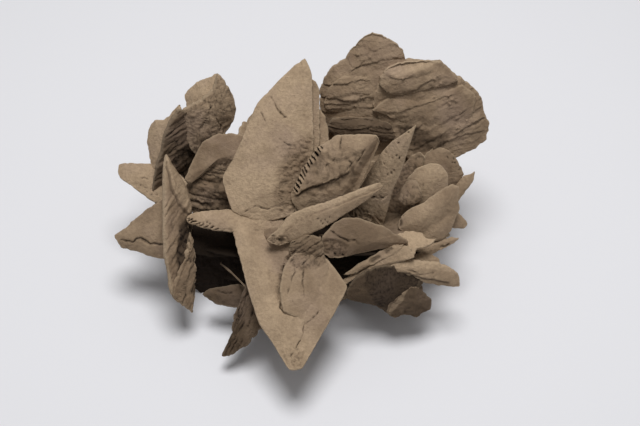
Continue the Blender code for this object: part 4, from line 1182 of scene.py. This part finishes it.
def low_crystals():
    """The leaves under the rose, which fall outwards from its heart to the resting plane."""
    leaf("low_front", heading=-12, rise=-25, roll=12, reach=112, width=72, thickness=18, root=(0, 18, 34),
        skin=DEEP_SHADE)
    leaf("low_left", heading=-78, rise=-20, roll=-16, reach=120, width=72, thickness=17, root=(-6, 22, 34),
        skin=DEEP_SHADE)
    leaf("low_right", heading=74, rise=-19, roll=14, reach=118, width=72, thickness=17, root=(6, 20, 32),
        skin=DEEP_SHADE)
    leaf("low_rear_left", heading=-142, rise=-19, roll=10, reach=120, width=74, thickness=16,
        root=(-4, 24, 34))
    leaf("low_rear_right", heading=137, rise=-17, roll=-14, reach=125, width=74, thickness=16,
        root=(4, 24, 34))


def back_crystals():
    """The far side, a rosette of leaves that fan out behind the slab and the crown."""
    leaf("rear_low_right", heading=142, rise=1, roll=9, reach=158, width=96, thickness=15, root=(10, 18, 9),
        blunt=0.5, skew=14)
    leaf("rear_low_left", heading=219, rise=2, roll=-10, reach=150, width=92, thickness=14,
        root=(-16, 22, 9), blunt=0.7, skew=-10)
    leaf("rear_middle", heading=184, rise=11, roll=24, reach=134, width=104, thickness=17, root=(4, 28, 26),
        blunt=0.8, skew=12)
    leaf("rear_upright", heading=158, rise=34, roll=-48, reach=140, width=92, thickness=16,
        root=(4, 24, 34), blunt=0.3, skew=-16)
    leaf("rear_leaning", heading=206, rise=38, roll=38, reach=122, width=86, thickness=13,
        root=(-14, 20, 34), blunt=0.5, skew=10)
    leaf("rear_right_fin", heading=114, rise=17, roll=64, reach=150, width=86, thickness=12,
        root=(4, 18, 32), blunt=0.2, skew=8)
    leaf("rear_left_fin", heading=243, rise=15, roll=-60, reach=140, width=78, thickness=13,
        root=(-6, 16, 32), blunt=0.3, skew=-12)
    leaf("rear_small_fin", heading=172, rise=20, roll=74, reach=118, width=62, thickness=9,
        root=(-2, 28, 40), blunt=0.1)
    leaf("right_under", heading=98, rise=4, roll=-24, reach=142, width=78, thickness=12, root=(14, 0, 20),
        blunt=0.4, skew=-8)
    leaf("left_under", heading=262, rise=6, roll=28, reach=126, width=72, thickness=13, root=(-22, 6, 18),
        blunt=0.6, skew=8, skin=DEEP_SHADE._replace(cell=BACK_CELL))
    leaf("rear_chip_right", heading=128, rise=26, roll=20, reach=112, width=52, thickness=8,
        root=(20, 20, 44), blunt=0.5)
    leaf("rear_chip_left", heading=232, rise=24, roll=12, reach=116, width=50, thickness=8,
        root=(-20, 18, 42), blunt=0.3)


# ---------------------------------------------------------------------------------------------------------
# Finish
# ---------------------------------------------------------------------------------------------------------

def node(tree, kind, sockets=(), **values):
    """A node of a kind, with values of its own and values or links for its input sockets."""
    made = tree.nodes.new(kind)
    for key, value in values.items():
        setattr(made, key, value)
    for key, value in dict(sockets).items():
        feed(tree, made.inputs[key], value)
    return made


def feed(tree, socket, value):
    """Links a socket to another, or sets it to a plain value."""
    if isinstance(value, bpy.types.NodeSocket):
        tree.links.new(value, socket)
    else:
        socket.default_value = value


def noise(tree, place, scale, detail, roughness=0.5):
    """Noise at a place, from 0 to 1."""
    return node(tree, "ShaderNodeTexNoise", {"Vector": place, "Scale": scale, "Detail": detail,
                                             "Roughness": roughness}).outputs["Fac"]


def times_plus(tree, value, factor, more, **values):
    """A value times a factor, plus more."""
    return node(tree, "ShaderNodeMath", {0: value, 1: factor, 2: more}, operation="MULTIPLY_ADD",
                **values).outputs[0]


def ranged(tree, value, low, high, to_low=0.0, to_high=1.0):
    """A value carried from one range to another, and held at its ends."""
    return node(tree, "ShaderNodeMapRange", {"Value": value, "From Min": low, "From Max": high,
                                             "To Min": to_low, "To Max": to_high}).outputs["Result"]


def grain_group():
    """Sandy grain: two sizes of noise added up as a height, and a speckle from 0 to 1."""
    group = bpy.data.node_groups.new("sand_grain", "ShaderNodeTree")
    face = group.interface
    face.new_socket("Vector", in_out="INPUT", socket_type="NodeSocketVector")
    face.new_socket("Height", in_out="OUTPUT", socket_type="NodeSocketFloat")
    face.new_socket("Speckle", in_out="OUTPUT", socket_type="NodeSocketFloat")
    place = node(group, "NodeGroupInput").outputs["Vector"]
    coarse = noise(group, place, 330.0, 3.0, 0.6)
    height = times_plus(group, noise(group, place, 1100.0, 2.0), 0.45, coarse)
    node(group, "NodeGroupOutput", {"Height": height, "Speckle": ranged(group, height, 0.5, 0.95)})
    return group


def blend(tree, share, first, second):
    """A mix of two colours; share, first and second are each a socket or a value."""
    mix = node(tree, "ShaderNodeMix", data_type="RGBA")
    for name, value in (("Factor", share), ("A", first), ("B", second)):
        feed(tree, [socket for socket in mix.inputs if socket.name == name and socket.enabled][0], value)
    return [socket for socket in mix.outputs if socket.enabled][0]


def sandy_gypsum():
    """Gypsum full of sand: tan where light and worn, greyer where rough, with painted shade in its crevices.
    """
    material = bpy.data.materials.new("sandy_gypsum")
    material.use_nodes = True
    tree = material.node_tree
    place = node(tree, "ShaderNodeTexCoord").outputs["Object"]
    tone, rim, painted_shade = (node(tree, "ShaderNodeAttribute", attribute_name=name).outputs["Fac"]
                          for name in ("tone", "rim", "painted_shade"))
    mottle = ranged(tree, noise(tree, place, 45.0, 5.0, 0.6), 0.3, 0.7, 0.2, 0.8)
    warm = ranged(tree, noise(tree, place, 22.0, 3.0), 0.5, 0.72, 0.0, 0.55)
    grain = node(tree, "ShaderNodeGroup", node_tree=grain_group())
    tree.links.new(place, grain.inputs["Vector"])
    colour = blend(tree, times_plus(tree, tone, 0.5, mottle, use_clamp=True), GREY_STONE, TAN_STONE)
    colour = blend(tree, warm, colour, ROSY_STONE)
    colour = blend(tree, ranged(tree, rim, 0.15, 1.0, 0.0, 0.55), colour, WORN_STONE)
    colour = blend(tree, ranged(tree, grain.outputs["Speckle"], 0.0, 1.0, 0.42, 0.0), colour, DARK_GRAIN)
    # painted shade: near black wherever the mask of painted shade is high
    colour = blend(tree, ranged(tree, painted_shade, 0.05, 1.0), colour, PAINTED_SHADE_COLOUR)
    bump = node(tree, "ShaderNodeBump", {"Strength": 1.0, "Distance": GRAIN_HEIGHT,
                                         "Height": grain.outputs["Height"]})
    for name, value in (("Base Color", colour), ("Roughness", 0.95), ("Specular IOR Level", 0.2),
                        ("Normal", bump.outputs["Normal"])):
        feed(tree, tree.nodes["Principled BSDF"].inputs[name], value)
    return material


# ---------------------------------------------------------------------------------------------------------
# Stage
# ---------------------------------------------------------------------------------------------------------

def make_floor():
    """A plain pale floor just under the resting plane."""
    mesh = bmesh.new()
    bmesh.ops.create_grid(mesh, x_segments=1, y_segments=1, size=FLOOR_SIZE / 2)
    bmesh.ops.translate(mesh, verts=mesh.verts, vec=(0.0, 0.0, -FLOOR_DROP))
    floor = shape("floor", mesh)
    material = bpy.data.materials.new("pale_floor")
    material.use_nodes = True
    shader = material.node_tree.nodes["Principled BSDF"]
    shader.inputs["Base Color"].default_value = FLOOR_COLOUR
    shader.inputs["Roughness"].default_value = 0.8
    floor.data.materials.append(material)


def make_light():
    """A wide soft light overhead, a little behind, and even light from all round."""
    data = bpy.data.lights.new("overhead", "AREA")
    data.shape = "DISK"
    data.size = LIGHT_SIZE
    data.energy = LIGHT_POWER
    aimed("overhead", data, LIGHT_PLACE, LIGHT_PLACE)
    world = bpy.data.worlds.new("even_light")
    world.use_nodes = True
    background = world.node_tree.nodes["Background"]
    background.inputs["Color"].default_value = (1.0, 1.0, 1.0, 1.0)
    background.inputs["Strength"].default_value = EVEN_LIGHT
    bpy.context.scene.world = world
    bpy.context.scene.view_settings.view_transform = "Standard"


growing = []             # the crystals made since the last piece was finished
planes = {}              # of every drawn crystal: a point on it and its normal
stone = sandy_gypsum()

make_camera()
for piece_name, make_crystals in (("tall_leaves", tall_crystals), ("front_leaves", front_crystals),
                                  ("toothed_crystals", middle_crystals), ("standing_slab", slab_crystals),
                                  ("right_rosette", right_crystals), ("left_crown", left_crystals),
                                  ("foot_leaves", foot_crystals), ("low_leaves", low_crystals),
                                  ("rear_leaves", back_crystals)):
    make_crystals()
    grow_together(piece_name)
make_floor()
make_light()
